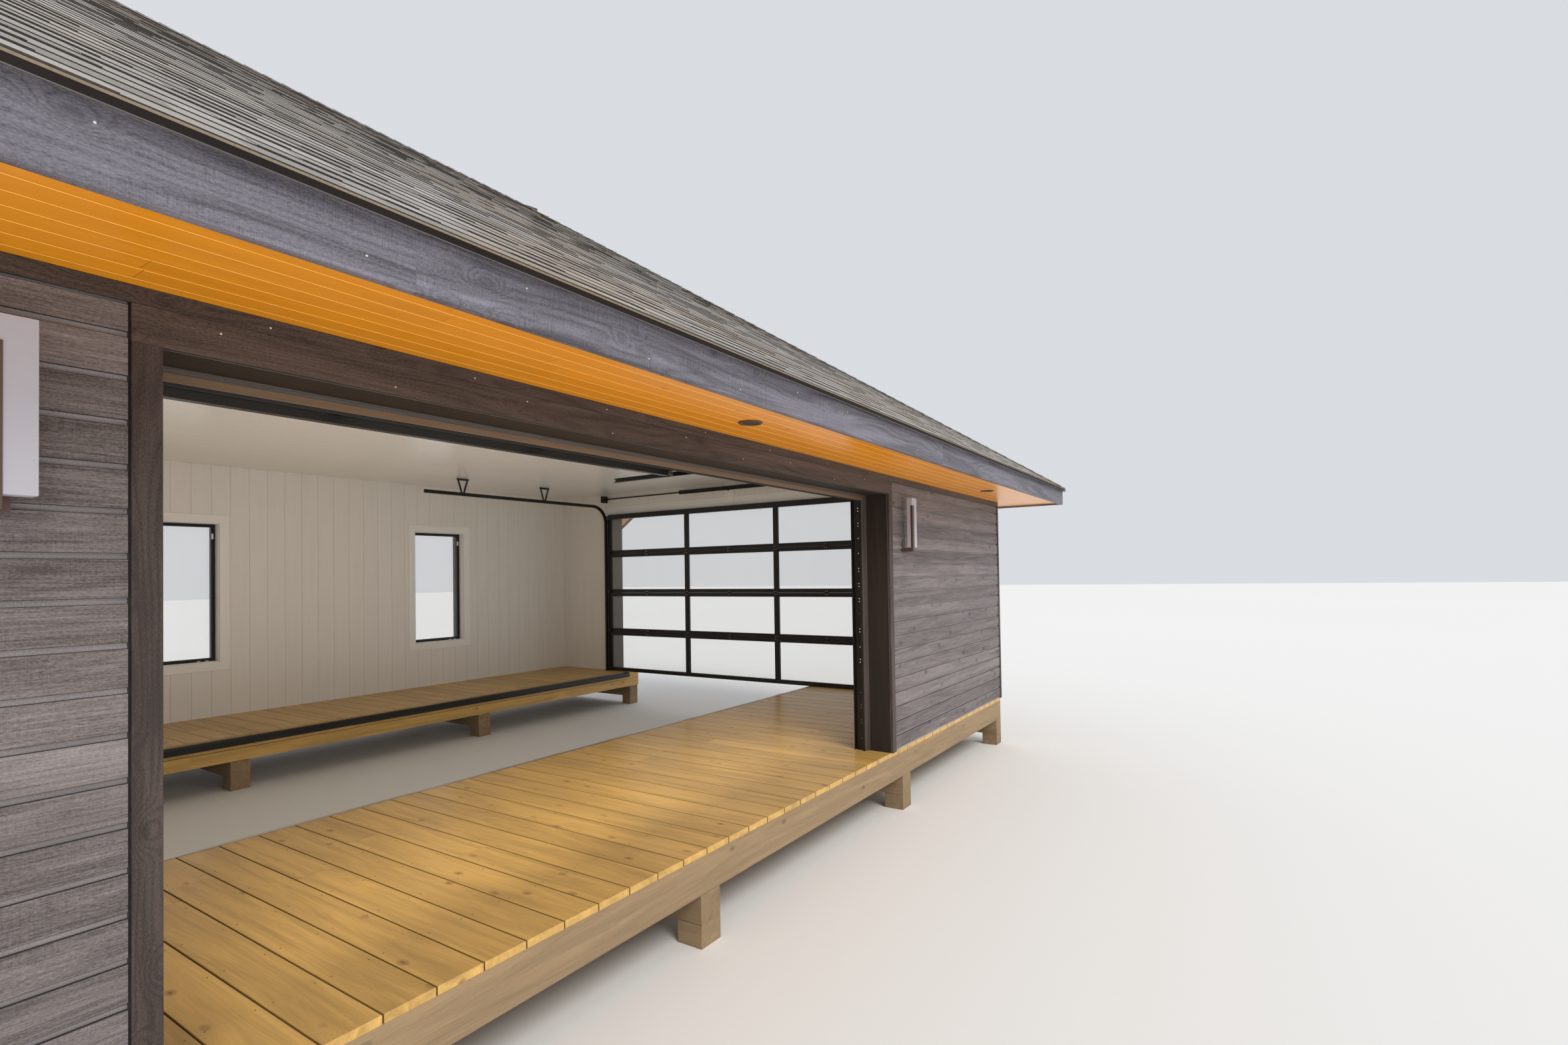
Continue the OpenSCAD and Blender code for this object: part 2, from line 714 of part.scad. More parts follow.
// X leads into the room, Y outwards from the door's edge, Z up
module track_pair(half_gap, rise, run) {
    for (side = [0, 1]) mirror([0, side, 0]) translate([door_t + roller_out, half_gap, 0]) {
        linear_extrude(rise) track_section();
        translate([track_r, 0, rise + seat_gap]) {
            rotate([90, 0, 0]) mirror([0, 0, 1]) rotate([0, 0, 90])
                rotate_extrude(angle = 90) translate([track_r, 0]) track_section();
            translate([seat_gap, 0, track_r]) rotate([0, 90, 0]) linear_extrude(run) track_section();
        }
        for (z = spread(bracket_set, rise - bracket_set, bracket_pitch))
            block([-door_t - roller_out, 0, z - bracket_half], [-track_w / 2, track_t, z + bracket_half]);
        block([-door_t - roller_out, 0, 0], [track_t - door_t - roller_out, angle_w, rise + flag_h]);
        translate([0, track_t, 0]) rotate([90, 0, 0]) linear_extrude(track_t)
            polygon([[-door_t - roller_out, rise - flag_h], [1 - track_w / 2, rise - flag_h],
                [1 - track_w / 2, rise], [10 - track_w / 2, rise + flag_h * 0.7],
                [-door_t - roller_out, rise + flag_h]]);
        for (x = [track_r + run / 3, track_r + run - hanger_inset])
            track_hanger(rise + track_r + seat_gap, x);
    }
}

// Two slanting straps from the level track up to a rail under the ceiling
module track_hanger(track_z, x) {
    strap_w = 32;
    rail_half = 100;
    top_z = ceiling_z - wall_z0;
    foot_z = track_z - track_w / 2;
    translate([x, track_depth + seat_gap, 0]) {
        block([-rail_half, 0, top_z - strap_w], [rail_half, track_t, top_z]);
        for (side = [-1, 1])
            translate([0, track_t, 0]) rotate([90, 0, 0]) linear_extrude(track_t)
                polygon([[side * strap_w * 0.1 - strap_w / 2, foot_z], [side * strap_w * 0.1 + strap_w / 2, foot_z],
                    [side * (rail_half - strap_w / 2) + strap_w / 2, top_z],
                    [side * (rail_half - strap_w / 2) - strap_w / 2, top_z]]);
    }
}

// Shaft with two springs and their winding cones, a drum at each end and three bearing plates
module torsion_shaft(half) {
    cone_h = 55;
    drum_w = 44;
    shaft_end = 60;
    translate([0, 0, shaft_z]) {
        rotate([90, 0, 0]) cylinder(d = shaft_d, h = 2 * (half + shaft_end), center = true);
        for (side = [0, 1]) mirror([0, side, 0]) {
            translate([0, 12, 0]) rotate([-90, 0, 0]) cylinder(d = spring_d, h = spring_len);
            translate([0, 11 + spring_len, 0]) rotate([-90, 0, 0])
                cylinder(d1 = spring_d * 0.9, d2 = shaft_d * 1.6, h = cone_h);
            translate([0, half - shaft_end, 0]) rotate([-90, 0, 0]) cylinder(d = drum_d, h = drum_w);
            translate([0, half - shaft_end - 1 + drum_w, 0]) rotate([-90, 0, 0]) cylinder(d = shaft_d * 2, h = 15);
            translate([0, half, 0]) block([-drum_d / 2, 0, -drum_d / 2], [shaft_out, 5, drum_d / 2]);
        }
        block([-spring_d / 2, -4, -spring_d / 2], [shaft_out, 4, spring_d / 2]);
    }
}

boat_half_gap = boat_door_w / 2 + track_gap;
patio_half_gap = patio_door_w / 2 + track_gap;

// Puts a leaf that faces -Y, with the room at +Y, into the boat opening
module at_boat_door() {
    translate([inner_x, 0, deck_h + door_lift]) rotate([0, 0, 90]) children();
}

module boat_door_sections() {
    color("black") at_boat_door() {
        for (i = [0:door_sections - 1])
            translate([0, 0, i * boat_section_h]) door_section(boat_door_w, boat_section_h - section_gap);
        translate([0, 0, (door_sections - 1) * boat_section_h]) top_strut(boat_door_w, boat_section_h - section_gap);
    }
}
module boat_door_glass() {
    color("lightcyan", 0.4) at_boat_door() for (i = [0:door_sections - 1])
        translate([0, 0, i * boat_section_h]) section_glass(boat_door_w, boat_section_h - section_gap);
}
module boat_door_hinges() {
    // The top rollers already stand in the bend of the tracks
    into_bend = door_lift + door_sections * boat_section_h - rail_h - (boat_track_z - deck_h - track_r);
    color("silver") at_boat_door() {
        for (j = [1:door_sections - 1])
            translate([0, 0, j * boat_section_h]) joint_hardware(boat_door_w, 0);
        edge_rollers(boat_door_w, rail_h, roller_out);
        edge_rollers(boat_door_w, door_sections * boat_section_h - rail_h,
            roller_out + track_r - sqrt(track_r ^ 2 - max(0, into_bend) ^ 2));
        cable_pins(boat_door_w);
    }
}
module boat_tracks() {
    rise = boat_track_z - deck_h - track_r;
    color("black") translate([inner_x, 0, deck_h]) mirror([1, 0, 0]) track_pair(boat_half_gap, rise, boat_track_run);
}
module boat_torsion_shaft() {
    cable_foot = deck_h + door_lift + rail_h + 6 + seat_gap;
    color("black") {
        translate([inner_x - shaft_out, 0, 0]) torsion_shaft(boat_half_gap + track_depth);
        translate([inner_x, 0, 0]) rotate([0, 0, 90]) for (side = [-1, 1])
            lift_cable(side * (boat_door_w / 2 + cable_side), [door_t + cable_out, cable_foot],
                [door_t + cable_out, shaft_z]);
    }
}

// The lowest section of the open patio door turns about its top joint until
// its rollers stand in the bend of the tracks
joint_y = patio_door_y - (door_sections - 1) * patio_section_h;
bend_run = joint_y + inner_y - door_t - roller_out - track_r;
bend_drop = track_r + roller_out;
bend_dist = norm([bend_run, bend_drop]);
roller_dist = norm([patio_section_h - rail_h, roller_out]);
patio_tilt = atan2(bend_drop, bend_run) - atan2(roller_out, patio_section_h - rail_h)
    - acos((bend_dist ^ 2 + roller_dist ^ 2 - track_r ^ 2) / (2 * bend_dist * roller_dist));

// Puts section i of the open patio door in place: the upper ones lie level
// under the ceiling and the lowest one hangs at a slant
module at_patio_section(i) {
    inner_face_z = patio_track_z + roller_out;
    if (i > 0)
        translate([0, joint_y + (i - 1) * patio_section_h, inner_face_z + door_t])
            rotate([-90, 0, 0]) children();
    else
        translate([0, joint_y, inner_face_z]) rotate([patio_tilt, 0, 0])
            translate([0, -patio_section_h, door_t]) rotate([-90, 0, 0]) children();
}

module patio_door_sections() {
    color("black") for (i = [0:door_sections - 1]) at_patio_section(i) {
        door_section(patio_door_w, patio_section_h - section_gap);
        if (i == door_sections - 1) top_strut(patio_door_w, patio_section_h - section_gap);
    }
}
module patio_door_glass() {
    color("lightcyan", 0.4) for (i = [0:door_sections - 1]) at_patio_section(i)
        section_glass(patio_door_w, patio_section_h - section_gap);
}
module patio_door_hinges() {
    color("silver") {
        at_patio_section(0) {
            edge_rollers(patio_door_w, rail_h, roller_out);
            cable_pins(patio_door_w);
        }
        for (i = [1:door_sections - 1])
            at_patio_section(i) joint_hardware(patio_door_w, i == 1 ? patio_tilt : 0);
        at_patio_section(door_sections - 1)
            edge_rollers(patio_door_w, patio_section_h - rail_h, roller_out);
    }
}
module patio_tracks() {
    rise = patio_track_z - deck_h - track_r;
    color("black") translate([0, -inner_y, deck_h]) rotate([0, 0, 90])
        track_pair(patio_half_gap, rise, patio_track_run);
}
// The cable pin of the lowest section, turned with it
pin_run = patio_section_h - rail_h;
pin_at = [joint_y - pin_run * cos(patio_tilt) + cable_out * sin(patio_tilt),
    patio_track_z + roller_out - pin_run * sin(patio_tilt) - cable_out * cos(patio_tilt)];
module patio_torsion_shaft() {
    drum_at = [door_t + cable_out - inner_y, shaft_z];
    toward = (drum_at - pin_at) / norm(drum_at - pin_at);
    color("black") {
        translate([0, shaft_out - inner_y, 0]) rotate([0, 0, -90]) torsion_shaft(patio_half_gap + track_depth);
        for (side = [-1, 1])
            lift_cable(side * (patio_door_w / 2 + cable_side), pin_at + toward * (6 + seat_gap), drum_at);
    }
}

sconce_w = 110;
sconce_gap = 60;
sconce_d = 65;
channel_w = 26;

// Wall plate with an arm and the metal channel between the two light strips
module sconce_bodies() {
    plate_t = 14;
    color("darkslategray") for (x = [-sconce_x, sconce_x]) translate([x, -half_wid, sconce_z]) {
        block([-sconce_w / 2, -plate_t, 0], [sconce_w / 2, 0, sconce_w]);
        block([-channel_w / 2, -sconce_gap - sconce_d - 4, 0], [channel_w / 2, -plate_t, channel_w]);
        block([-channel_w / 2, -sconce_gap - sconce_d - 4, 0], [channel_w / 2, -sconce_gap, sconce_h * 0.86]);
    }
}
module sconce_lights() {
    color("white") for (x = [-sconce_x, sconce_x]) translate([x, -half_wid - sconce_gap, sconce_z])
        difference() {
            block([-sconce_w / 2, -sconce_d, channel_w + seat_gap], [sconce_w / 2, 0, sconce_h]);
            block([-channel_w / 2, -sconce_d - 1, -1], [channel_w / 2, 1, sconce_h * 0.86]);
        }
}

// Round trims with a recessed lens
module soffit_lights() {
    rim_t = 8;
    lens_set = 5;
    color("white") for (x = [-pot_pitch, 0, pot_pitch])
        translate([x, pot_y, soffit_z - rim_t]) difference() {
            cylinder(d1 = pot_d - 6, d2 = pot_d, h = rim_t);
            translate([0, 0, -1]) cylinder(d = pot_d * 0.7, h = lens_set + 1);
        }
}

module outlets() {
    plate_w = 70;
    plate_h = 115;
    plate_t = 6;
    win_edge = win_w / 2 + win_casing_w;
    mid_outlet_off = 1105;
    end_outlet_off = 1015;
    color("white") for (x = [window_xs[1] + win_edge + mid_outlet_off, window_xs[2] + win_edge + end_outlet_off])
        block([x - plate_w / 2, inner_y - plate_t, deck_h + outlet_h],
            [x + plate_w / 2, inner_y, deck_h + outlet_h + plate_h]);
}

front_posts_and_beams();
back_posts_and_beams();
near_posts_and_beams();
front_deck_frame();
back_deck_frame();
near_deck_frame();
front_deck();
back_deck();
near_deck();
slip_edge_boards();
slip_bumper();
front_wall_left();
front_wall_right();
front_wall_header();
back_wall();
near_end_wall();
boat_end_wall_front();
boat_end_wall_back();
boat_end_gable_wall();
ceiling();
roof_front();
roof_back();
roof_near_end();
roof_boat_end();
roof_gable();
hip_and_ridge_caps();
fascia_boards();
soffit_panels();
drip_edge();
frieze_and_corner_trim();
patio_casing();
patio_jamb();
boat_casing();
boat_jamb();
window_frames();
window_glass();
window_casings();
boat_door_sections();
boat_door_glass();
boat_door_hinges();
boat_tracks();
boat_torsion_shaft();
patio_door_sections();
patio_door_glass();
patio_door_hinges();
patio_tracks();
patio_torsion_shaft();
sconce_bodies();
sconce_lights();
soffit_lights();
outlets();
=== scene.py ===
"""Dresses the boathouse with boards, shingles, door hardware and finishes, in metres."""

import math
import random

import bmesh
import bpy
import numpy as np
from bpy.props import FloatProperty, FloatVectorProperty, IntProperty, PointerProperty
from mathutils import Matrix, Vector


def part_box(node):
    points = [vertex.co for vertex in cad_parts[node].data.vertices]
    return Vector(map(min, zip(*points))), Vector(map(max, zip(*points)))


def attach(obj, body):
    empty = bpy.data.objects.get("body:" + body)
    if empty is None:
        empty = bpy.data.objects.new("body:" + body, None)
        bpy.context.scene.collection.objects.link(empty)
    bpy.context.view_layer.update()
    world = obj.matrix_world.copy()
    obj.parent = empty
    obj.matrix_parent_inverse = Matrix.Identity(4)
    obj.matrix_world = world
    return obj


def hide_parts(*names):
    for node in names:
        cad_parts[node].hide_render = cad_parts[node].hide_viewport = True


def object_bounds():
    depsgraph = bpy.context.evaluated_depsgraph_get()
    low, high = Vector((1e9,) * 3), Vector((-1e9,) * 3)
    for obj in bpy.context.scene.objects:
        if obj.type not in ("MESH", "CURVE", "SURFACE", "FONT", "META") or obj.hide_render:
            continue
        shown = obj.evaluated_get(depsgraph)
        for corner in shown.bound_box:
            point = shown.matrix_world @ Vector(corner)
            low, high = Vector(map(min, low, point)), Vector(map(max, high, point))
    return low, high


bl_info = {
    "name": "Boathouse dressing",
    "version": (1, 0, 0),
    "blender": (4, 5, 0),
    "location": "3D View > Sidebar > Boathouse",
    "description": "Lays the boards, shingles, door hardware and finishes of a boathouse over its frame",
    "category": "Add Mesh",
}

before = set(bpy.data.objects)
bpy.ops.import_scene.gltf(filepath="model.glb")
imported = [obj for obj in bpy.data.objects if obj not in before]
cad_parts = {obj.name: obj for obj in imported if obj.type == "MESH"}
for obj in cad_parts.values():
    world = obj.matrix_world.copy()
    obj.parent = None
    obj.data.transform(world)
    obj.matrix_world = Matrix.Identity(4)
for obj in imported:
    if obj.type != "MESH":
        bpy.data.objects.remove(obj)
CAD_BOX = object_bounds()

X = Vector((1, 0, 0))
Y = Vector((0, 1, 0))
Z = Vector((0, 0, 1))


def low(node):
    """Lowest corner of a frame node."""
    return Vector(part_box(node)[0])


def high(node):
    """Highest corner of a frame node."""
    return Vector(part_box(node)[1])


# Thickness of the jamb boards, of the roof slabs and of the trim over the walls
JAMB_T = 0.020
ROOF_T = 0.034
TRIM_T = 0.018
# Gaps that keep two boards from touching: where they would share a face, and in a seam
HAIR = 0.0003
SEAM = 0.0004

HALF_LEN = high("back_wall").x
HALF_WID = high("back_wall").y
INNER_X = -high("near_end_wall").x
INNER_Y = low("back_wall").y
DECK = low("back_wall").z
CEILING = low("ceiling").z
SOFFIT = high("frieze_and_corner_trim").z
PATIO_HALF = -high("front_wall_left").x - JAMB_T
PATIO_TOP = low("front_wall_header").z - JAMB_T
BOAT_HALF = low("boat_end_wall_back").y - JAMB_T
BOAT_TOP = low("boat_end_gable_wall").z - JAMB_T
SLIP_LOW = low("slip_edge_boards")
SLIP_HIGH = high("slip_edge_boards")
EAVE_X = high("roof_boat_end").x
EAVE_Y = high("roof_back").y
EAVE_Z = low("roof_back").z + ROOF_T
RIDGE_Z = high("roof_back").z
RIDGE_HALF = EAVE_X - EAVE_Y
SLOPE = (RIDGE_Z - EAVE_Z) / EAVE_Y
GABLE_HALF = high("roof_gable").y


def gable_under(y):
    """Underside of the gable roof above the boat door."""
    return EAVE_Z - ROOF_T + SLOPE * (GABLE_HALF - abs(y))


def metres(name, description, default, least=0.0005):
    """A length that a user may change."""
    return FloatProperty(name=name, description=description, default=default, min=least, precision=4,
                         unit="LENGTH")


def colour(name, description, default):
    """A colour that a user may change."""
    return FloatVectorProperty(name=name, description=description, default=default, min=0, max=1,
                               subtype="COLOR")


class BoathouseBoards(bpy.types.PropertyGroup):
    """Sizes of the boards and shingles."""

    siding_pitch: metres("Siding pitch", "Height from one siding board to the next", 0.1357)
    siding_channel: metres("Siding channel", "Open channel between two siding boards", 0.0175)
    siding_first: metres("First siding joint", "Height of the first joint above the deck", 0.013)
    siding_thick: metres("Siding thickness", "How far a siding board stands off the wall", 0.011)
    lining_pitch: metres("Lining pitch", "Width of an inner board with its V groove", 0.2118)
    lining_thick: metres("Lining thickness", "Thickness of the inner boards", 0.008)
    groove: metres("Groove", "Chamfer along the edges of the inner boards", 0.0038)
    soffit_groove: metres("Soffit groove", "Chamfer along the edges of the soffit boards", 0.0015)
    soffit_pitch: metres("Soffit pitch", "Width of a soffit board with its groove", 0.0975)
    deck_width: metres("Deck board", "Width of a deck board", 0.2193)
    deck_gap: metres("Deck gap", "Gap between two deck boards", 0.006)
    shingle_course: metres("Shingle course", "Height of a course of shingles that shows", 0.143)
    shingle_tab: metres("Shingle tab", "Mean width of a shingle tab", 0.235)
    shingle_thick: metres("Shingle butt", "Thickness of the layers at a shingle's lower edge", 0.0075)
    longest: metres("Longest board", "Longest board that is laid in one piece", 4.88)


class BoathouseHardware(bpy.types.PropertyGroup):
    """Sizes of the door hardware and fasteners."""

    wire: metres("Spring wire", "Diameter of the wire of a torsion spring", 0.0085)
    hole_pitch: metres("Hole pitch", "Distance from one pair of punched holes to the next", 0.145)
    hole: metres("Hole", "Width of a punched hole", 0.009)
    hole_pair: metres("Hole pair", "Distance between the two holes of a pair", 0.028)
    bolt: metres("Bolt", "Radius of a bolt head", 0.0065)
    screw: metres("Screw", "Radius of a deck screw's head", 0.0042)
    nail: metres("Nail", "Radius of a trim nail's head", 0.0035)
    bead: metres("Glazing bead", "Width of the beads round the door panes", 0.012)
    worn_edge: metres("Edge", "Rounding along the edges of metal parts", 0.0015)


class BoathouseColours(bpy.types.PropertyGroup):
    """Colours of the finishes."""

    siding: colour("Siding", "Dark stain on the wall boards", (0.27, 0.24, 0.245))
    siding_dark: colour("Siding grain", "Dark grain of the wall boards", (0.05, 0.041, 0.039))
    trim: colour("Trim", "Dark stain on casings and frieze", (0.092, 0.066, 0.058))
    # A grey stain whose bluish tint is painted reflection of the sky.
    fascia: colour("Fascia", "Stain on the fascia boards", (0.168, 0.160, 0.198))
    soffit: colour("Soffit", "Clear coated soffit boards", (0.80, 0.300, 0.007))
    deck: colour("Deck", "Deck boards", (0.60, 0.362, 0.098))
    timber: colour("Timber", "Posts, beams and joists", (0.36, 0.25, 0.14))
    lining: colour("Lining", "White inner boards", (0.83, 0.81, 0.77))
    # Used only on the head stop: a lit copy of the darker side stops, its tan partly painted light from
    # below.
    jamb: colour("Stop", "Tan stop boards of the patio opening", (0.22, 0.130, 0.072))
    jamb_dark: colour("Jamb", "Dark jamb boards", (0.036, 0.024, 0.020))
    shingle: colour("Shingles", "Mean colour of the shingles", (0.34, 0.325, 0.315))
    black: colour("Black", "Black metal", (0.012, 0.012, 0.013))
    bronze: colour("Bronze", "Metal of the wall lights", (0.095, 0.060, 0.044))
    # Grey-blue rather than white: painted shade from the soffit over the wall lights.
    diffuser: colour("Diffuser", "Frosted white of the wall lights", (0.41, 0.41, 0.47))


def amount(name, description, default, least=0.0):
    """A plain number that a user may change."""
    return FloatProperty(name=name, description=description, default=default, min=least)


def angle(name, description, degrees):
    """An angle that a user may change."""
    return FloatProperty(name=name, description=description, default=math.radians(degrees), subtype="ANGLE")


class BoathouseStage(bpy.types.PropertyGroup):
    """Floor, light and camera."""

    floor: colour("Floor", "Pale floor", (0.80, 0.80, 0.79))
    sky: amount("Sky", "Strength of the soft light all round", 0.75)
    sun: amount("Sun", "Strength of the soft sun", 1.9)
    room: amount("Room light", "Power of the soft light in the room", 42)
    opening: amount("Opening light", "Power of the soft light in the opening", 50)
    apron: amount("Apron light", "Power of the soft light from the ground in front", 190)
    lens: amount("Lens", "Focal length for a 36 mm wide sensor", 16.894, 1)
    camera_x: metres("Camera X", "Camera place along the building", -3.6425, -100)
    camera_y: metres("Camera Y", "Camera place across the building", -7.1356, -100)
    camera_z: metres("Camera Z", "Camera height", 2.2902, -100)
    heading: angle("Heading", "Turn of the view from X to Y", 32.890)
    tilt: angle("Tilt", "How far the view looks up", 1.013)
    roll: angle("Roll", "Turn about the line of sight", -0.897)
    seed: IntProperty(name="Seed", description="Seed of the board pattern", default=11, min=0)


class NodeWriter:
    """Short calls that add nodes to a tree."""

    def node(self, kind, links=None, **settings):
        """Adds a node, sets it up, links or sets its inputs and gives its outputs."""
        node = self.tree.nodes.new(kind)
        for key, value in settings.items():
            setattr(node, key, value)
        for socket, source in (links or {}).items():
            if isinstance(source, bpy.types.NodeSocket):
                self.tree.links.new(source, node.inputs[socket])
            else:
                node.inputs[socket].default_value = source
        return node.outputs

    def math(self, operation, *values, clamp=False):
        """A sum of one or more numbers."""
        return self.node("ShaderNodeMath", dict(enumerate(values)), operation=operation, use_clamp=clamp)[0]

    def plus(self, first, second):
        """Two numbers added."""
        return self.math("ADD", first, second)

    def minus(self, first, second):
        """The second number taken from the first."""
        return self.math("SUBTRACT", first, second)

    def times(self, first, second):
        """Two numbers multiplied."""
        return self.math("MULTIPLY", first, second)

    def vector(self, operation, *values):
        """A sum of vectors."""
        return self.node("ShaderNodeVectorMath", dict(enumerate(values)), operation=operation)[0]

    def xyz(self, x=0.0, y=0.0, z=0.0):
        """A vector of three numbers."""
        return self.node("ShaderNodeCombineXYZ", {"X": x, "Y": y, "Z": z})[0]


class PieceTree(NodeWriter):
    """A geometry tree with named inputs that ends in plain mesh with a finish."""

    def __init__(self, name, sizes, counts=(), smooth=False):
        self.smooth = smooth
        self.tree = bpy.data.node_groups.new(name, "GeometryNodeTree")
        self.socket("Places", "Geometry")
        self.socket("Piece", "Geometry", "OUTPUT")
        for label in sizes:
            self.socket(label, "Float")
        for label in counts:
            self.socket(label, "Int")
        self.socket("Finish", "Material")
        self.given = self.node("NodeGroupInput")

    def socket(self, label, kind, way="INPUT"):
        """Gives the tree a named input or output."""
        self.tree.interface.new_socket(label, in_out=way, socket_type="NodeSocket" + kind)

    def read(self, name, kind="FLOAT"):
        """A named attribute of the points."""
        return self.node("GeometryNodeInputNamedAttribute", {"Name": name}, data_type=kind)[0]

    def store(self, geometry, name, value, kind="FLOAT"):
        """Keeps a value on the points under a name."""
        links = {"Geometry": geometry, "Name": name, "Value": value}
        return self.node("GeometryNodeStoreNamedAttribute", links, data_type=kind, domain="POINT")[0]

    def copies(self, points, instance, **links):
        """A copy of an instance on each point, as real mesh or curves."""
        links = {"Points": points, "Instance": instance, **links}
        return self.real(self.node("GeometryNodeInstanceOnPoints", links)[0])

    def real(self, geometry):
        """Instances made real."""
        return self.node("GeometryNodeRealizeInstances", {"Geometry": geometry})[0]

    def both(self, first, second):
        """Two geometries as one."""
        join = self.tree.nodes.new("GeometryNodeJoinGeometry")
        for source in (first, second):
            self.tree.links.new(source, join.inputs[0])
        return join.outputs[0]

    def finish(self, real):
        """Sets the finish and links the output."""
        flat = self.node("GeometryNodeSetShadeSmooth", {"Geometry": real, "Shade Smooth": self.smooth})[0]
        done = self.node("GeometryNodeSetMaterial", {"Geometry": flat, "Material": self.given["Finish"]})[0]
        self.node("NodeGroupOutput", {"Piece": done})


def board_tree():
    """One board per point; attributes say how it runs, how wide it is and where its grain starts."""
    t = PieceTree("Lay boards", ("Width", "Thickness", "Thin edge", "Edge"), ("Steps", "Seed"))
    right = t.times(t.given["Width"], 0.5)
    left = t.times(t.given["Width"], -0.5)
    thick = t.times(t.given["Thickness"], -1.0)
    thin = t.times(t.given["Thin edge"], -1.0)
    corners = ((left, 0.0), (left, thin), (right, thick), (right, 0.0))
    points = {"Point " + str(i + 1): t.xyz(x, y) for i, (x, y) in enumerate(corners)}
    section = t.node("GeometryNodeCurvePrimitiveQuadrilateral", points, mode="POINTS")[0]
    corner = {"Curve": section, "Count": t.given["Steps"], "Radius": t.given["Edge"], "Limit Radius": True}
    section = t.node("GeometryNodeFilletCurve", corner, mode="POLY")[0]
    line = t.node("GeometryNodeCurvePrimitiveLine", {"Start": (0, 0, 0), "End": (1, 0, 0)})[0]
    bar = t.node("GeometryNodeCurveToMesh", {"Curve": line, "Profile Curve": section, "Fill Caps": True})[0]
    bar = t.store(bar, "grain", t.node("GeometryNodeInputPosition")[0], "FLOAT_VECTOR")

    run = t.read("run", "FLOAT_VECTOR")
    length = t.node("ShaderNodeVectorMath", {0: run}, operation="LENGTH")["Value"]
    seed = t.given["Seed"]
    shift = t.node("FunctionNodeRandomValue", {"Min": (0, 0, 0), "Max": (30, 30, 30), "Seed": seed},
                   data_type="FLOAT_VECTOR")[0]
    tone = t.node("FunctionNodeRandomValue", {2: 0.0, 3: 1.0, "Seed": t.plus(seed, 5.0)},
                  data_type="FLOAT")[1]
    places = t.store(t.given["Places"], "shift", shift, "FLOAT_VECTOR")
    places = t.store(places, "tone", tone)
    places = t.store(places, "size", t.xyz(length, t.read("stretch"), 1.0), "FLOAT_VECTOR")
    up = t.read("up", "FLOAT_VECTOR")
    turn = t.node("FunctionNodeAxesToRotation", {"Primary Axis": run, "Secondary Axis": up}, primary_axis="X",
                  secondary_axis="Y")[0]
    size = t.read("size", "FLOAT_VECTOR")
    grain = t.read("grain", "FLOAT_VECTOR")
    real = t.copies(places, bar, Rotation=turn, Scale=size)
    across = t.node("ShaderNodeSeparateXYZ", {0: grain})["Y"]
    real = t.store(real, "rim", t.math("DIVIDE", across, t.times(t.given["Width"], 0.5)))
    start = t.vector("ADD", t.vector("MULTIPLY", grain, size), t.read("shift", "FLOAT_VECTOR"))
    t.finish(t.store(real, "grain", start, "FLOAT_VECTOR"))
    return t.tree


def fastener_tree():
    """A flat round or six-sided head on each point, standing along the point's own direction."""
    t = PieceTree("Set fasteners", ("Radius", "Height", "Crown"), ["Sides"])
    top = t.times(t.given["Radius"], t.given["Crown"])
    head = t.node("GeometryNodeMeshCone", {"Vertices": t.given["Sides"], "Radius Top": top,
                                           "Radius Bottom": t.given["Radius"], "Depth": t.given["Height"]})[0]
    out = t.read("out", "FLOAT_VECTOR")
    turn = t.node("FunctionNodeAlignRotationToVector", {"Vector": out}, axis="Z")[0]
    t.finish(t.copies(t.given["Places"], head, Rotation=turn))
    return t.tree


def strip_tree():
    """A flat metal strip along X with pairs of punched holes."""
    sizes = ("Length", "Width", "Thickness", "Pitch", "Hole", "Pair")
    t = PieceTree("Punch strip", sizes)
    length, width, thick, pitch, hole, apart = (t.given[size] for size in sizes)
    outline = t.node("GeometryNodeCurvePrimitiveQuadrilateral", {"Width": length, "Height": width})[0]
    square = t.node("GeometryNodeCurvePrimitiveQuadrilateral", {"Width": hole, "Height": hole})[0]
    punched = t.node("GeometryNodeFilletCurve", {"Curve": square, "Count": 2, "Limit Radius": True,
                                                 "Radius": t.times(hole, 0.35)}, mode="POLY")[0]
    pair = t.node("GeometryNodeMeshLine", {"Count": 2, "Offset": t.xyz(apart)})[0]
    slot = t.copies(pair, punched)
    count = t.math("FLOOR", t.math("DIVIDE", length, pitch))
    half_pitch = t.times(pitch, 0.5)
    start = t.minus(half_pitch, t.times(count, half_pitch))
    row = t.node("GeometryNodeMeshLine", {"Count": count, "Start Location": t.xyz(start),
                                          "Offset": t.xyz(pitch)})[0]
    curves = t.both(outline, t.copies(row, slot))
    sheet = t.node("GeometryNodeFillCurve", {"Curve": curves}, mode="NGONS")[0]
    sides = t.node("GeometryNodeExtrudeMesh", {"Mesh": sheet, "Offset": (0, 0, 1), "Offset Scale": thick,
                                               "Individual": False}, mode="FACES")[0]
    shell = t.both(sides, t.node("GeometryNodeFlipFaces", {"Mesh": sheet})[0])
    welded = t.node("GeometryNodeMergeByDistance", {"Geometry": shell, "Distance": 0.00001})[0]
    middle = t.xyz(t.times(length, 0.5))
    t.finish(t.real(t.node("GeometryNodeTransform", {"Geometry": welded, "Translation": middle})[0]))
    return t.tree


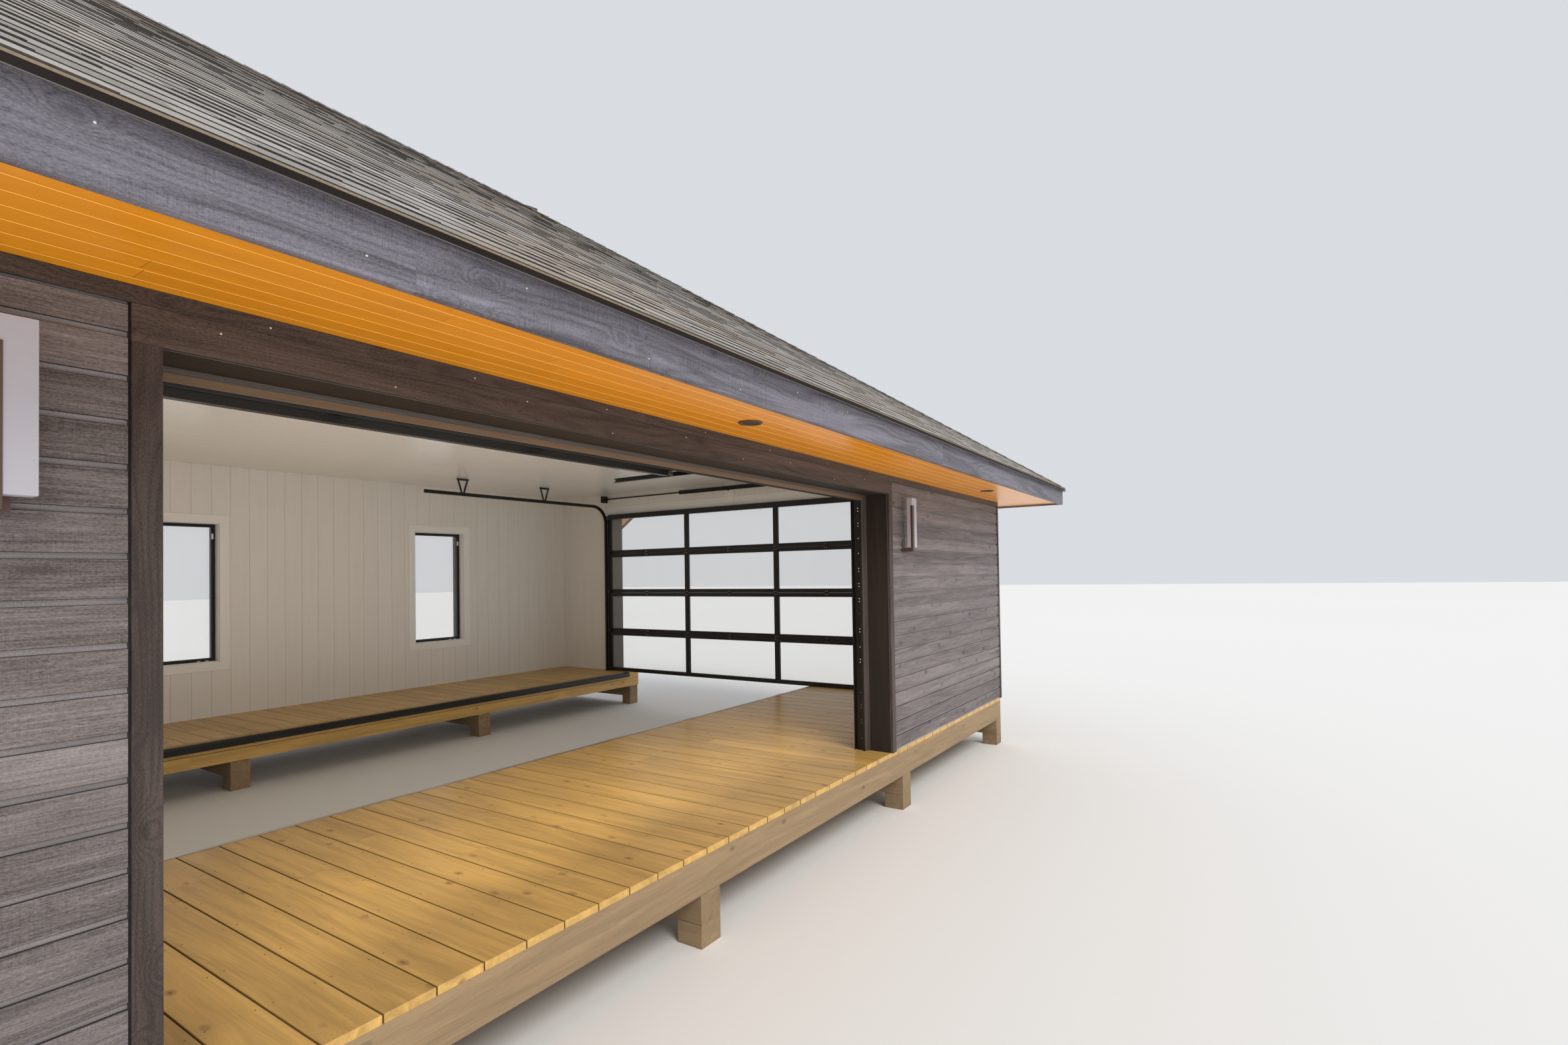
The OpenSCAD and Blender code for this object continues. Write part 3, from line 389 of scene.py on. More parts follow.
def coil_tree():
    """A close-wound spring that rises along Z."""
    t = PieceTree("Wind spring", ("Radius", "Wire", "Length"), smooth=True)
    wire = t.given["Wire"]
    turns = t.math("DIVIDE", t.given["Length"], t.times(wire, 1.12))
    half_wire = t.times(wire, 0.5)
    middle = t.minus(t.given["Radius"], half_wire)
    helix = t.node("GeometryNodeCurveSpiral", {"Resolution": 12, "Rotations": turns, "Start Radius": middle,
                                               "End Radius": middle, "Height": t.given["Length"]})[0]
    circle = t.node("GeometryNodeCurvePrimitiveCircle", {"Resolution": 6, "Radius": half_wire})[0]
    coil = t.node("GeometryNodeCurveToMesh", {"Curve": helix, "Profile Curve": circle, "Fill Caps": True})[0]
    t.finish(t.real(coil))
    return t.tree


TREES = {}


def add(name, data):
    """Puts new data into the scene as an object."""
    made = bpy.data.objects.new(name, data)
    bpy.context.scene.collection.objects.link(made)
    return made


def settle(piece, modifier):
    """Turns a piece and its modifier into plain mesh."""
    result = bpy.data.meshes.new_from_object(piece.evaluated_get(bpy.context.evaluated_depsgraph_get()))
    piece.modifiers.remove(modifier)
    old = piece.data
    piece.data = result
    bpy.data.meshes.remove(old)
    return result


def skin(name, soup, material):
    """An object from a bmesh, which is freed, and a material."""
    mesh = bpy.data.meshes.new(name)
    soup.to_mesh(mesh)
    soup.free()
    mesh.materials.append(material)
    return add(name, mesh)


def grow(name, make, points, fields, sizes, look):
    """Runs a geometry tree on points with named fields and gives the plain mesh object."""
    mesh = bpy.data.meshes.new(name)
    mesh.from_pydata([tuple(p) for p in points], [], [])
    for field, values in fields.items():
        values = np.asarray(values, dtype=float)
        vectors = values.ndim == 2
        layer = mesh.attributes.new(field, "FLOAT_VECTOR" if vectors else "FLOAT", "POINT")
        layer.data.foreach_set("vector" if vectors else "value", values.ravel())
    if make not in TREES:
        TREES[make] = make()
    piece = add(name, mesh)
    growth = piece.modifiers.new("Growth", "NODES")
    growth.node_group = TREES[make]
    given = dict(sizes, Finish=finish(look))
    for socket in TREES[make].interface.items_tree:
        if socket.in_out == "INPUT" and socket.name in given:
            growth[socket.identifier] = given[socket.name]
    result = settle(piece, growth)
    if not result.polygons:
        raise RuntimeError(name + " has no faces")
    result.name = name
    result.materials.clear()
    result.materials.append(given["Finish"])
    result.polygons.foreach_set("material_index", [0] * len(result.polygons))
    return piece


def reshape(piece, change):
    """Moves the points of a piece by a function of their places."""
    places = np.empty(3 * len(piece.data.vertices))
    piece.data.vertices.foreach_get("co", places)
    places = change(places.reshape(-1, 3))
    piece.data.vertices.foreach_set("co", places.ravel())
    piece.data.update()


def face_outwards(piece):
    """Turns all faces of a closed piece outwards."""
    soup = bmesh.new()
    soup.from_mesh(piece.data)
    bmesh.ops.recalc_face_normals(soup, faces=soup.faces)
    soup.to_mesh(piece.data)
    soup.free()


def join(name, pieces):
    """Makes one object of several, each with one finish."""
    soup = bmesh.new()
    finishes = []
    for piece in pieces:
        material = piece.data.materials[0]
        if material not in finishes:
            finishes.append(material)
        before = len(soup.faces)
        soup.from_mesh(piece.data)
        soup.faces.ensure_lookup_table()
        for face in soup.faces[before:]:
            face.material_index = finishes.index(material)
    mesh = bpy.data.meshes.new(name)
    soup.to_mesh(mesh)
    soup.free()
    for material in finishes:
        mesh.materials.append(material)
    for piece in pieces:
        old = piece.data
        bpy.data.objects.remove(piece)
        bpy.data.meshes.remove(old)
    return add(name, mesh)


def seat(piece, slot, *nodes):
    """Gives a finished piece to the frame, and lets it stand for frame nodes."""
    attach(piece, "root")
    if nodes:
        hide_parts(*nodes)
    return piece


class Face:
    """A flat face that boards lie on: u runs along the boards, v across them and w off the face."""

    def __init__(self, origin, along, up):
        self.origin = Vector(origin)
        self.along = Vector(along).normalized()
        self.up = Vector(up).normalized()
        self.out = self.along.cross(self.up)

    def point(self, u, v, w=0.0):
        """The place of a point of the face."""
        return self.origin + self.along * u + self.up * v + self.out * w

    def flat(self, places):
        """u, v and w of an array of places."""
        axes = np.array([self.along, self.up, self.out]).T
        return (places - np.array(self.origin)) @ axes

    def solid(self, flat):
        """Places of an array of u, v and w."""
        axes = np.array([self.along, self.up, self.out])
        return flat @ axes + np.array(self.origin)


def rows(us, vs, pitch, longest, seed, first=None, holes=()):
    """Boards (u0, u1, v0, v1) in rows, with staggered butt joints and with holes left out."""
    chance = random.Random(seed)
    boards = []
    v = vs[0] if first is None else first
    while v < vs[1] - 1e-6:
        bottom, top = max(v, vs[0]), min(v + pitch, vs[1])
        v += pitch
        if top - bottom < 0.004:
            continue
        joints = [us[0]]
        step = longest * chance.uniform(0.25, 1.0)
        while us[1] - joints[-1] > longest:
            joints.append(joints[-1] + step)
            step = longest * chance.uniform(0.7, 1.0)
        joints.append(us[1])
        pieces = [(a, b, bottom, top) for a, b in zip(joints, joints[1:])]
        for hole in holes:
            pieces = [part for piece in pieces for part in cut(piece, hole)]
        boards += pieces
    return boards


def cut(board, hole):
    """The parts of a board that a hole (u0, u1, v0, v1) leaves."""
    a, b, bottom, top = board
    left, right, under, over = hole
    if right <= a or left >= b or over <= bottom or under >= top:
        return [board]
    parts = []
    if left > a:
        parts.append((a, left, bottom, top))
    if right < b:
        parts.append((right, b, bottom, top))
    inner = (max(a, left), min(b, right))
    if under > bottom:
        parts.append((*inner, bottom, under))
    if over < top:
        parts.append((*inner, over, top))
    return parts


def recoat(look, *nodes):
    """Gives frame nodes that stay in view a finish."""
    for node in nodes:
        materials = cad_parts[node].data.materials
        materials.clear()
        materials.append(finish(look))


def lay(name, face, boards, thick, look, gap=0.0, edge=0.002, steps=1, seed=1, joint=0.0008, thin=None,
        lift=0.0, limit=None, tip=0.0):
    """Lays boards on a face as one piece; limit(u, v) holds points inside an outline, tip tilts boards."""
    boards = [(b[0] + joint, b[1] - b[0] - 2 * joint, (b[2] + b[3]) / 2, b[3] - b[2] - gap) for b in boards]
    boards = [b for b in boards if min(b[1], b[3]) > 0.0005]
    width = max(b[3] for b in boards)
    points = [face.point(b[0], b[2], lift + tip) for b in boards]
    fields = {
        "run": [face.along * b[1] - face.out * tip for b in boards],
        "up": [face.up for _ in boards],
        "stretch": [b[3] / width for b in boards],
    }
    sizes = {"Width": width, "Thickness": thick, "Thin edge": thick if thin is None else thin, "Edge": edge,
             "Steps": steps, "Seed": seed}
    piece = grow(name, board_tree, points, fields, sizes, look)
    if limit:
        def hold(places):
            flat = face.flat(places)
            flat[:, 0], flat[:, 1] = limit(flat[:, 0], flat[:, 1])
            return face.solid(flat)
        reshape(piece, hold)
    face_outwards(piece)
    return piece


def planks(name, boxes, look, edge=0.002, seed=3, steps=2):
    """Rounded planks that fill boxes (lowest corner, highest corner), with the grain along the long side."""
    parts = []
    for number, (lowest, highest) in enumerate(boxes):
        size = [highest[i] - lowest[i] for i in range(3)]
        a, b, c = sorted(range(3), key=lambda i: -size[i])
        along, up = (X, Y, Z)[a], (X, Y, Z)[b]
        base = lowest[c] if sum(along.cross(up)) > 0 else -highest[c]
        board = (lowest[a], highest[a], lowest[b], highest[b])
        parts.append(lay(name + str(number), Face((0, 0, 0), along, up), [board], size[c], look, edge=edge,
                         steps=steps, seed=seed + number, joint=0.0, lift=base))
    return join(name, parts) if len(parts) > 1 else parts[0]


def fasten(name, spots, out, radius, look, height=0.0015, sides=8, crown=0.8):
    """Sets fastener heads at spots, standing along out, or each along its own direction."""
    outs = [out] * len(spots) if isinstance(out, Vector) else out
    return grow(name, fastener_tree, spots, {"out": [tuple(o) for o in outs]},
                {"Radius": radius, "Height": height, "Sides": sides, "Crown": crown}, look)


def moved(piece, matrix):
    """Moves the mesh of a piece."""
    piece.data.transform(matrix)
    return piece


def merged(node):
    """The mesh of a frame node with its loose triangles joined, as bmesh."""
    soup = bmesh.new()
    soup.from_mesh(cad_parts[node].data)
    bmesh.ops.remove_doubles(soup, verts=soup.verts, dist=0.00001)
    return soup


def shells(soup):
    """The vertices of each separate solid of a bmesh."""
    soup.verts.index_update()
    seen = set()
    found = []
    for start in soup.verts:
        if start.index in seen:
            continue
        seen.add(start.index)
        queue, shell = [start], []
        while queue:
            vert = queue.pop()
            shell.append(vert)
            for edge in vert.link_edges:
                other = edge.other_vert(vert)
                if other.index not in seen:
                    seen.add(other.index)
                    queue.append(other)
        found.append(shell)
    return found


def solids(node):
    """Boxes (lowest, highest) of the separate solids of a frame node."""
    soup = merged(node)
    boxes = [tuple(Vector([pick(v.co[i] for v in shell) for i in range(3)]) for pick in (min, max))
             for shell in shells(soup)]
    soup.free()
    return boxes


def dress(node, look, edge=0.0015, segments=2):
    """A copy of a frame node with flat faces, rounded edges and a finish."""
    return rounded(merged(node), node + "_dressed", look, edge, segments)


def rounded(soup, name, look, edge, segments=2):
    """A piece from a bmesh, with flat faces, rounded edges and a finish."""
    bmesh.ops.dissolve_limit(soup, angle_limit=math.radians(1.0), verts=soup.verts, edges=soup.edges)
    piece = skin(name, soup, finish(look))
    bevel = piece.modifiers.new("Rounding", "BEVEL")
    bevel.width = edge
    bevel.segments = segments
    bevel.limit_method = "ANGLE"
    bevel.angle_limit = math.radians(40)
    bevel.harden_normals = False
    settle(piece, bevel)
    return piece


def blocky(xs, ys, zs, cells):
    """The skin, as bmesh, of the filled cells of a grid."""
    soup = bmesh.new()
    for cell in cells:
        for axis in range(3):
            one, other = (axis + 1) % 3, (axis + 2) % 3
            for side in (0, 1):
                beside = list(cell)
                beside[axis] += 2 * side - 1
                if tuple(beside) in cells:
                    continue
                corners = []
                for first, second in ((0, 0), (1, 0), (1, 1), (0, 1)):
                    at = list(cell)
                    at[axis] += side
                    at[one] += first
                    at[other] += second
                    corners.append(soup.verts.new((xs[at[0]], ys[at[1]], zs[at[2]])))
                soup.faces.new(corners if side else corners[::-1])
    bmesh.ops.remove_doubles(soup, verts=soup.verts, dist=0.00001)
    return soup


class Finish(NodeWriter):
    """A procedural material with short calls for its nodes."""

    def __init__(self, name, roughness=0.5, metallic=0.0):
        self.material = bpy.data.materials.new(name)
        self.material.use_nodes = True
        self.tree = self.material.node_tree
        self.shader = self.tree.nodes["Principled BSDF"]
        self.shader.inputs["Roughness"].default_value = roughness
        self.shader.inputs["Metallic"].default_value = metallic

    def attribute(self, name, output="Fac"):
        """A value kept on the mesh."""
        return self.node("ShaderNodeAttribute", attribute_name=name)[output]

    def places(self):
        """Places on the object, in metres."""
        return self.node("ShaderNodeTexCoord")["Object"]

    def noise(self, vector, scale, detail=4.0, roughness=0.55, distortion=0.0):
        """Noise of one size, or of a size for each direction."""
        scales = scale if isinstance(scale, tuple) else (scale, scale, scale)
        scaled = self.vector("MULTIPLY", vector, scales)
        return self.node("ShaderNodeTexNoise", {"Vector": scaled, "Scale": 1.0, "Detail": detail,
                                                "Roughness": roughness, "Distortion": distortion})[0]

    def mix(self, factor, first, second, blend="MIX"):
        """Blends two colours."""
        return self.node("ShaderNodeMix", {0: factor, 6: first, 7: second}, data_type="RGBA",
                         blend_type=blend)[2]

    def ramp(self, value, start, end):
        """Rises smoothly from nothing to one over a range."""
        return self.node("ShaderNodeMapRange", {0: value, 1: start, 2: end, 3: 0.0, 4: 1.0},
                         interpolation_type="SMOOTHSTEP")[0]

    def level(self, value, gain):
        """Spreads a value about a half."""
        return self.math("MULTIPLY_ADD", self.minus(value, 0.5), gain, 0.5, clamp=True)

    def put(self, socket, source):
        """Links a source to the shader."""
        self.tree.links.new(source, self.shader.inputs[socket])

    def relief(self, height, distance):
        """Bumps from a height."""
        given = {"Height": height, "Distance": distance, "Strength": 1.0}
        self.put("Normal", self.node("ShaderNodeBump", given)[0])


def rgba(values):
    """A colour with full cover."""
    return (*values, 1.0)


def shade(values, factor):
    """A colour made lighter or darker."""
    return tuple(min(1.0, v * factor) for v in values)


def wood(name, light, dark, roughness, tone, fibre, bump, rings=0.0, knots=0.0, saw=0.0, rough=0.0, coat=0.0,
         knot=None, groove=None, edge_band_at=0.93):
    """Timber with fibres, rings that bend round knots, saw marks, a tone of its own for each board and a band
    of colour along its edges.
    """
    f = Finish(name, roughness)
    grain = f.attribute("grain", "Vector")
    fibres = f.noise(grain, (5.0, 190.0, 190.0), 5.0, 0.62)
    figure = f.noise(grain, (0.9, 11.0, 11.0), 3.0, 0.5, 1.2)
    value = f.plus(f.times(f.level(fibres, 2.4), fibre), f.times(f.level(figure, 2.4), 1.0 - fibre))
    spread = f.vector("MULTIPLY", grain, (3.4, 6.2, 6.2))
    cell = f.node("ShaderNodeTexVoronoi", {"Vector": spread, "Scale": 1.0})[0]
    if rings:
        bend = f.times(f.ramp(cell, 0.40, 0.0), 4.0)
        across = f.node("ShaderNodeSeparateXYZ", {0: grain})["Y"]
        broad = f.noise(grain, (0.7, 5.0, 5.0), 2.0, 0.45)
        turns = f.math("MULTIPLY_ADD", across, 34.0, f.math("MULTIPLY_ADD", broad, 12.0, bend))
        wave = f.math("MULTIPLY_ADD", f.math("SINE", f.times(turns, 6.2832)), 0.5, 0.5)
        value = f.minus(value, f.times(f.times(f.math("POWER", wave, 2.5), fibres), rings))
    if rough:
        grit = f.noise(grain, (110.0, 330.0, 330.0), 3.0, 0.7)
        value = f.plus(value, f.times(f.minus(grit, 0.5), rough))
    if saw:
        marks = f.noise(grain, (330.0, 9.0, 9.0), 2.0)
        patch = f.ramp(f.noise(grain, (2.0, 14.0, 14.0), 2.0), 0.42, 0.60)
        value = f.plus(value, f.times(f.times(f.minus(marks, 0.5), patch), saw))
    value = f.math("ADD", value, f.times(f.minus(f.attribute("tone"), 0.5), tone), clamp=True)
    shown = f.mix(value, rgba(dark), rgba(light))
    if knots:
        wavy = f.math("MULTIPLY_ADD", f.minus(figure, 0.5), 0.06, cell)
        heart = f.times(f.ramp(wavy, knots, knots * 0.5), 0.85)
        edge = f.times(f.ramp(wavy, knots * 1.9, knots), 0.45)
        shown = f.mix(f.math("MAXIMUM", heart, edge), shown, rgba(knot or shade(dark, 0.55)))
    # The groove colour is painted along the board edges: painted shadow in the siding channels, painted
    # highlight on the soffit, a darker edge on the deck boards.
    if groove:
        rim = f.math("ABSOLUTE", f.attribute("rim"))
        shown = f.mix(f.ramp(rim, edge_band_at, edge_band_at + 0.02), shown, rgba(groove))
    f.put("Base Color", shown)
    f.put("Roughness", f.math("MULTIPLY_ADD", fibres, 0.18, roughness - 0.09))
    f.shader.inputs["Coat Weight"].default_value = coat
    f.shader.inputs["Coat Roughness"].default_value = 0.22
    f.relief(value, bump)
    return f.material


def paint(name, tint, roughness, grain_size=900.0, bump=0.0002, metallic=0.0, wear=0.06, gloss=0.5,
          speck=0.0):
    """Paint or powder coat with a fine skin and a little uneven wear."""
    f = Finish(name, roughness, metallic)
    places = f.places()
    coat = f.noise(places, grain_size, 3.0)
    patches = f.noise(places, 2.3)
    shown = f.mix(f.ramp(patches, 0.3, 0.75), rgba(shade(tint, 1.0 - wear)), rgba(shade(tint, 1.0 + wear)))
    if speck:
        shown = f.mix(f.times(f.level(coat, 3.0), speck), shown, rgba(shade(tint, 0.35)))
    f.put("Base Color", shown)
    f.put("Roughness", f.math("MULTIPLY_ADD", patches, 0.14, roughness - 0.07))
    f.shader.inputs["Specular IOR Level"].default_value = gloss
    f.relief(coat, bump)
    return f.material


def glass():
    """Clear panes with a faint cool tint."""
    f = Finish("pane_glass", 0.03)
    drops = f.noise(f.places(), 3.0, 3.0)
    f.put("Base Color", f.mix(drops, rgba((0.80, 0.86, 0.88)), rgba((0.88, 0.92, 0.93))))
    f.shader.inputs["Alpha"].default_value = 0.13
    f.shader.inputs["IOR"].default_value = 1.45
    return f.material


def shingle_finish(name, tint, butt=-2.0):
    """Mineral granules on laminated shingles, dark along their lower edges: the shingles' own dark band
    together with painted shadow under the butts.
    """
    f = Finish(name, 0.92)
    places = f.places()
    grains = f.noise(places, 620.0, 2.0, 0.7)
    specks = f.noise(places, 90.0, 3.0, 0.7)
    weather = f.noise(places, 0.9)
    broad = f.plus(f.times(f.level(specks, 2.5), 0.25), f.times(f.attribute("tone"), 0.50))
    value = f.plus(f.times(f.level(grains, 2.2), 0.25), broad)
    shown = f.mix(value, rgba(shade(tint, 0.48)), rgba(shade(tint, 1.45)))
    warm = f.mix(f.ramp(weather, 0.42, 0.62), rgba((1.0, 1.0, 1.0)), rgba((1.0, 0.90, 0.79)))
    shown = f.mix(1.0, shown, warm, "MULTIPLY")
    # Dark colour along the butts: partly the shingles' own colour, partly painted shadow under each course.
    under = f.mix(specks, rgba((0.022, 0.017, 0.014)), rgba((0.105, 0.090, 0.078)))
    f.put("Base Color", f.mix(f.ramp(f.attribute("rim"), butt - 0.02, butt), under, shown))
    f.relief(grains, 0.0015)
    return f.material


FINISHES = {}


RECIPES = {
    # The siding's groove colour is painted shadow: a dark line along each board's edge at the channel.
    "siding": lambda c: wood("siding_stain", c.siding, c.siding_dark, 0.58, 0.34, 0.58, 0.0022, rings=0.24,
                             knots=0.110, saw=0.40, rough=1.5, knot=shade(c.siding_dark, 0.7),
                             groove=shade(c.siding_dark, 0.4), edge_band_at=0.965),
    "trim": lambda c: wood("trim_stain", shade(c.trim, 1.15), shade(c.trim, 0.25), 0.60, 0.15, 0.38, 0.0022,
                           rings=0.5, knots=0.08, saw=0.4, rough=2.0),
    # Fascia stain; its bluish tint is painted reflection of the sky.
    "fascia": lambda c: wood("fascia_stain", shade(c.fascia, 1.45), shade(c.fascia, 0.36), 0.5, 0.25, 0.35,
                             0.0020, rings=0.50, knots=0.09, saw=0.9, rough=1.9, coat=0.05,
                             knot=shade(c.fascia, 0.40)),
    # The soffit's groove colour is a painted highlight: a light line along each board's rounded edge.
    "soffit": lambda c: wood("soffit_clear_coat", shade(c.soffit, 1.05), shade(c.soffit, 0.80), 0.34, 0.30,
                             0.3, 0.0004, rings=0.22, knots=0.055, coat=0.30, knot=(0.30, 0.085, 0.010),
                             groove=(0.95, 0.47, 0.075), edge_band_at=0.955),
    "deck": lambda c: wood("deck_oil", shade(c.deck, 1.22), shade(c.deck, 0.68), 0.50, 0.34, 0.30, 0.0010,
                           rings=0.22, knots=0.085, rough=0.5, coat=0.30, knot=(0.20, 0.085, 0.025),
                           groove=shade(c.deck, 0.42), edge_band_at=0.975),
    "timber": lambda c: wood("sawn_timber", c.timber, shade(c.timber, 0.60), 0.78, 0.3, 0.4, 0.0018,
                             rings=0.25, knots=0.08, saw=0.5, rough=0.5),
    # The head stop's tan finish: the stop timber lightened as painted light from below, beside the darker
    # side stops.
    "jamb": lambda c: wood("stop_timber", c.jamb, shade(c.jamb, 0.72), 0.52, 0.1, 0.4, 0.0006, rings=0.1,
                           knots=0.03),
    "jamb_dark": lambda c: wood("jamb_stain", shade(c.jamb_dark, 0.80), shade(c.jamb_dark, 0.25), 0.66, 0.1,
                                0.5, 0.0014, rings=0.1, knots=0.05, saw=0.2, rough=0.6),
    "mould": lambda c: wood("mould_stain", (0.120, 0.098, 0.085), (0.050, 0.040, 0.035), 0.5, 0.3, 0.5,
                            0.0008, rough=1.0),
    "lining": lambda c: wood("lining_paint", c.lining, shade(c.lining, 0.95), 0.42, 0.35, 0.3, 0.0002),
    "ceiling": lambda c: wood("ceiling_paint", c.lining, shade(c.lining, 0.965), 0.24, 0.2, 0.3, 0.0001),
    "white_trim": lambda c: wood("casing_paint", (0.90, 0.89, 0.87), (0.85, 0.84, 0.82), 0.36, 0.1, 0.3,
                                 0.0002),
    # The wall faces in the siding channels: the siding stain made lighter as painted light, with dark specks.
    "walls": lambda c: paint("wall_stain", shade(c.siding, 1.15), 0.6, 260.0, 0.0012, wear=0.25, speck=0.55),
    # -0.94 sets the band of painted shadow along the butts of the shingles.
    "shingles": lambda c: shingle_finish("shingle_granules", shade(c.shingle, 1.08), -0.94),
    "shingle_caps": lambda c: shingle_finish("cap_granules", shade(c.shingle, 0.85)),
    "starter": lambda c: shingle_finish("starter_granules", (0.25, 0.20, 0.145)),
    "drip": lambda c: paint("drip_brown", (0.014, 0.010, 0.009), 0.6, wear=0.2, gloss=0.15),
    # A lighter strip on the drip edge's lower lip: the dark drip metal lightened as a painted highlight.
    "hem": lambda c: paint("hem_brown", (0.15, 0.13, 0.12), 0.35, metallic=0.4),
    "black": lambda c: paint("black_powder_coat", c.black, 0.38, 1400.0),
    "track": lambda c: paint("track_black", shade(c.black, 1.15), 0.33, 1100.0),
    "rubber": lambda c: paint("seal_rubber", shade(c.black, 1.6), 0.7, 700.0, 0.0004),
    "bumper": lambda c: paint("bumper_vinyl", c.black, 0.24, 500.0, 0.0003),
    "zinc": lambda c: paint("zinc_plate", (0.62, 0.62, 0.61), 0.32, 500.0, metallic=1.0, wear=0.1),
    "nail": lambda c: paint("nail_paint", (0.66, 0.64, 0.60), 0.5, 500.0),
    "screw": lambda c: paint("screw_coat", (0.17, 0.095, 0.045), 0.45, 500.0, metallic=0.3),
    "bronze": lambda c: paint("bronze_coat", c.bronze, 0.40, 1200.0, metallic=0.2),
    # Frosted white of the wall lights, darkened as painted shade from the soffit.
    "diffuser": lambda c: paint("frosted_white", c.diffuser, 0.55, 1500.0, 0.0001, wear=0.02),
    "plastic": lambda c: paint("outlet_plastic", (0.84, 0.83, 0.80), 0.32, 1500.0, 0.00005, wear=0.02),
    # Dark paint for the soffit light cores; on the outlets it is painted shade in the slots.
    "dark": lambda c: paint("light_core", (0.045, 0.030, 0.024), 0.45, 700.0),
    "glass": lambda c: glass(),
}


def finish(name):
    """One of the finishes, made when it is first asked for."""
    if name not in FINISHES:
        FINISHES[name] = RECIPES[name](bpy.context.scene.boathouse_colours)
    return FINISHES[name]


FRONT = Face((0, -HALF_WID, 0), X, Z)
BACK = Face((0, HALF_WID, 0), -X, Z)
NEAR_END = Face((-HALF_LEN, 0, 0), -Y, Z)
BOAT_END = Face((HALF_LEN, 0, 0), Y, Z)

CORNER_W = 0.035
CASING_W = high("patio_casing").x - PATIO_HALF
CAULK = 0.006


def window_boxes():
    """Boxes of the three window frames, from the near end on."""
    return sorted(solids("window_frames"), key=lambda limits: limits[0].x)


def mirrored(axis, *limits):
    """A box and its twin across the middle of the building, the twin first."""
    twin = list(limits)
    for i in (2 * axis, 2 * axis + 1):
        twin[i] = -limits[i]
    return [box(*twin), box(*limits)]


def surround(axis, deep, inner, outer, under, over):
    """Boxes of two uprights and the board over them, round an opening that is level along an axis."""
    upright = (DECK, under - SEAM)
    spans = ((-inner, -outer, *upright), (inner, outer, *upright), (-outer, outer, under, over))
    return [box(*deep, *span) if axis else box(*span[:2], *deep, *span[2:]) for span in spans]


def siding(sizes, seed):
    """Channel siding on the four walls."""
    top = high("patio_casing").z
    first = DECK + sizes.siding_first - sizes.siding_pitch
    reach = HALF_LEN - CORNER_W - 0.001
    width = HALF_WID - CORNER_W - 0.001

    def wall(name, face, us, number, holes=(), stop=top, limit=None):
        boards = rows(us, (DECK, stop), sizes.siding_pitch, sizes.longest, seed + number, first, holes)
        seat(lay(name, face, boards, sizes.siding_thick, "siding", sizes.siding_channel, 0.0015,
                 seed=seed + number, joint=0.0006, limit=limit), "dark_siding")

    side = PATIO_HALF + CASING_W + CAULK
    joints = mirrored(0, side - CAULK + HAIR, side - HAIR, -HALF_WID - 0.004, -HALF_WID, DECK, top - SEAM)
    seat(planks("caulk_joints", joints, "rubber", 0.001, seed), "dark_siding")
    wall("siding_front_left", FRONT, (-reach, -side), 1)
    wall("siding_front_right", FRONT, (side, reach), 2)
    holes = [(-highest.x - CASING_W, -lowest.x + CASING_W, lowest.z - CASING_W, highest.z + CASING_W)
             for lowest, highest in window_boxes()]
    wall("siding_back", BACK, (-reach, reach), 3, holes)
    wall("siding_near_end", NEAR_END, (-width, width), 4)

    def under_gable(u, v):
        free = GABLE_HALF - 0.004 - (v - EAVE_Z + ROOF_T) / SLOPE
        free = np.where(v < SOFFIT, width, np.maximum(free, 0.0))
        return np.clip(u, -free, free), v

    casing = high("boat_casing")
    hole = [(low("boat_casing").y - CAULK, casing.y + CAULK, DECK - 0.1, casing.z + CAULK)]
    wall("siding_boat_end", BOAT_END, (-width, width), 5, hole, gable_under(0) - 0.02, under_gable)
    # The wall faces that show in the channels take the lightened stain, painted light.
    recoat("walls", "front_wall_left", "front_wall_right", "front_wall_header", "back_wall", "near_end_wall",
           "boat_end_wall_front", "boat_end_wall_back", "boat_end_gable_wall")


def build(context, maker, *groups, seed=None):
    """Runs a maker with its groups of settings and its seed, for an operator."""
    given = [getattr(context.scene, "boathouse_" + group) for group in groups]
    if seed is not None:
        given.append(context.scene.boathouse_stage.seed + seed)
    maker(*given)
    return {"FINISHED"}


class BOATHOUSE_OT_siding(bpy.types.Operator):
    """Lay the channel siding on the walls"""

    bl_idname = "boathouse.siding"
    bl_label = "Siding"

    def execute(self, context):
        """Makes the pieces."""
        return build(context, siding, "boards", seed=0)


def split(box, longest):
    """Cuts a long box into equal shorter ones."""
    lowest, highest = box
    axis = max(range(3), key=lambda i: highest[i] - lowest[i])
    count = math.ceil((highest[axis] - lowest[axis]) / longest)
    parts = []
    for i in range(count):
        first, last = Vector(lowest), Vector(highest)
        first[axis] = lowest[axis] + (highest[axis] - lowest[axis]) * i / count + (0.0006 if i else 0.0)
        last[axis] = lowest[axis] + (highest[axis] - lowest[axis]) * (i + 1) / count
        parts.append((first, last))
    return parts


def box(x0, x1, y0, y1, z0, z1):
    """A box from its limits, in any order."""
    return (Vector((min(x0, x1), min(y0, y1), min(z0, z1))), Vector((max(x0, x1), max(y0, y1), max(z0, z1))))


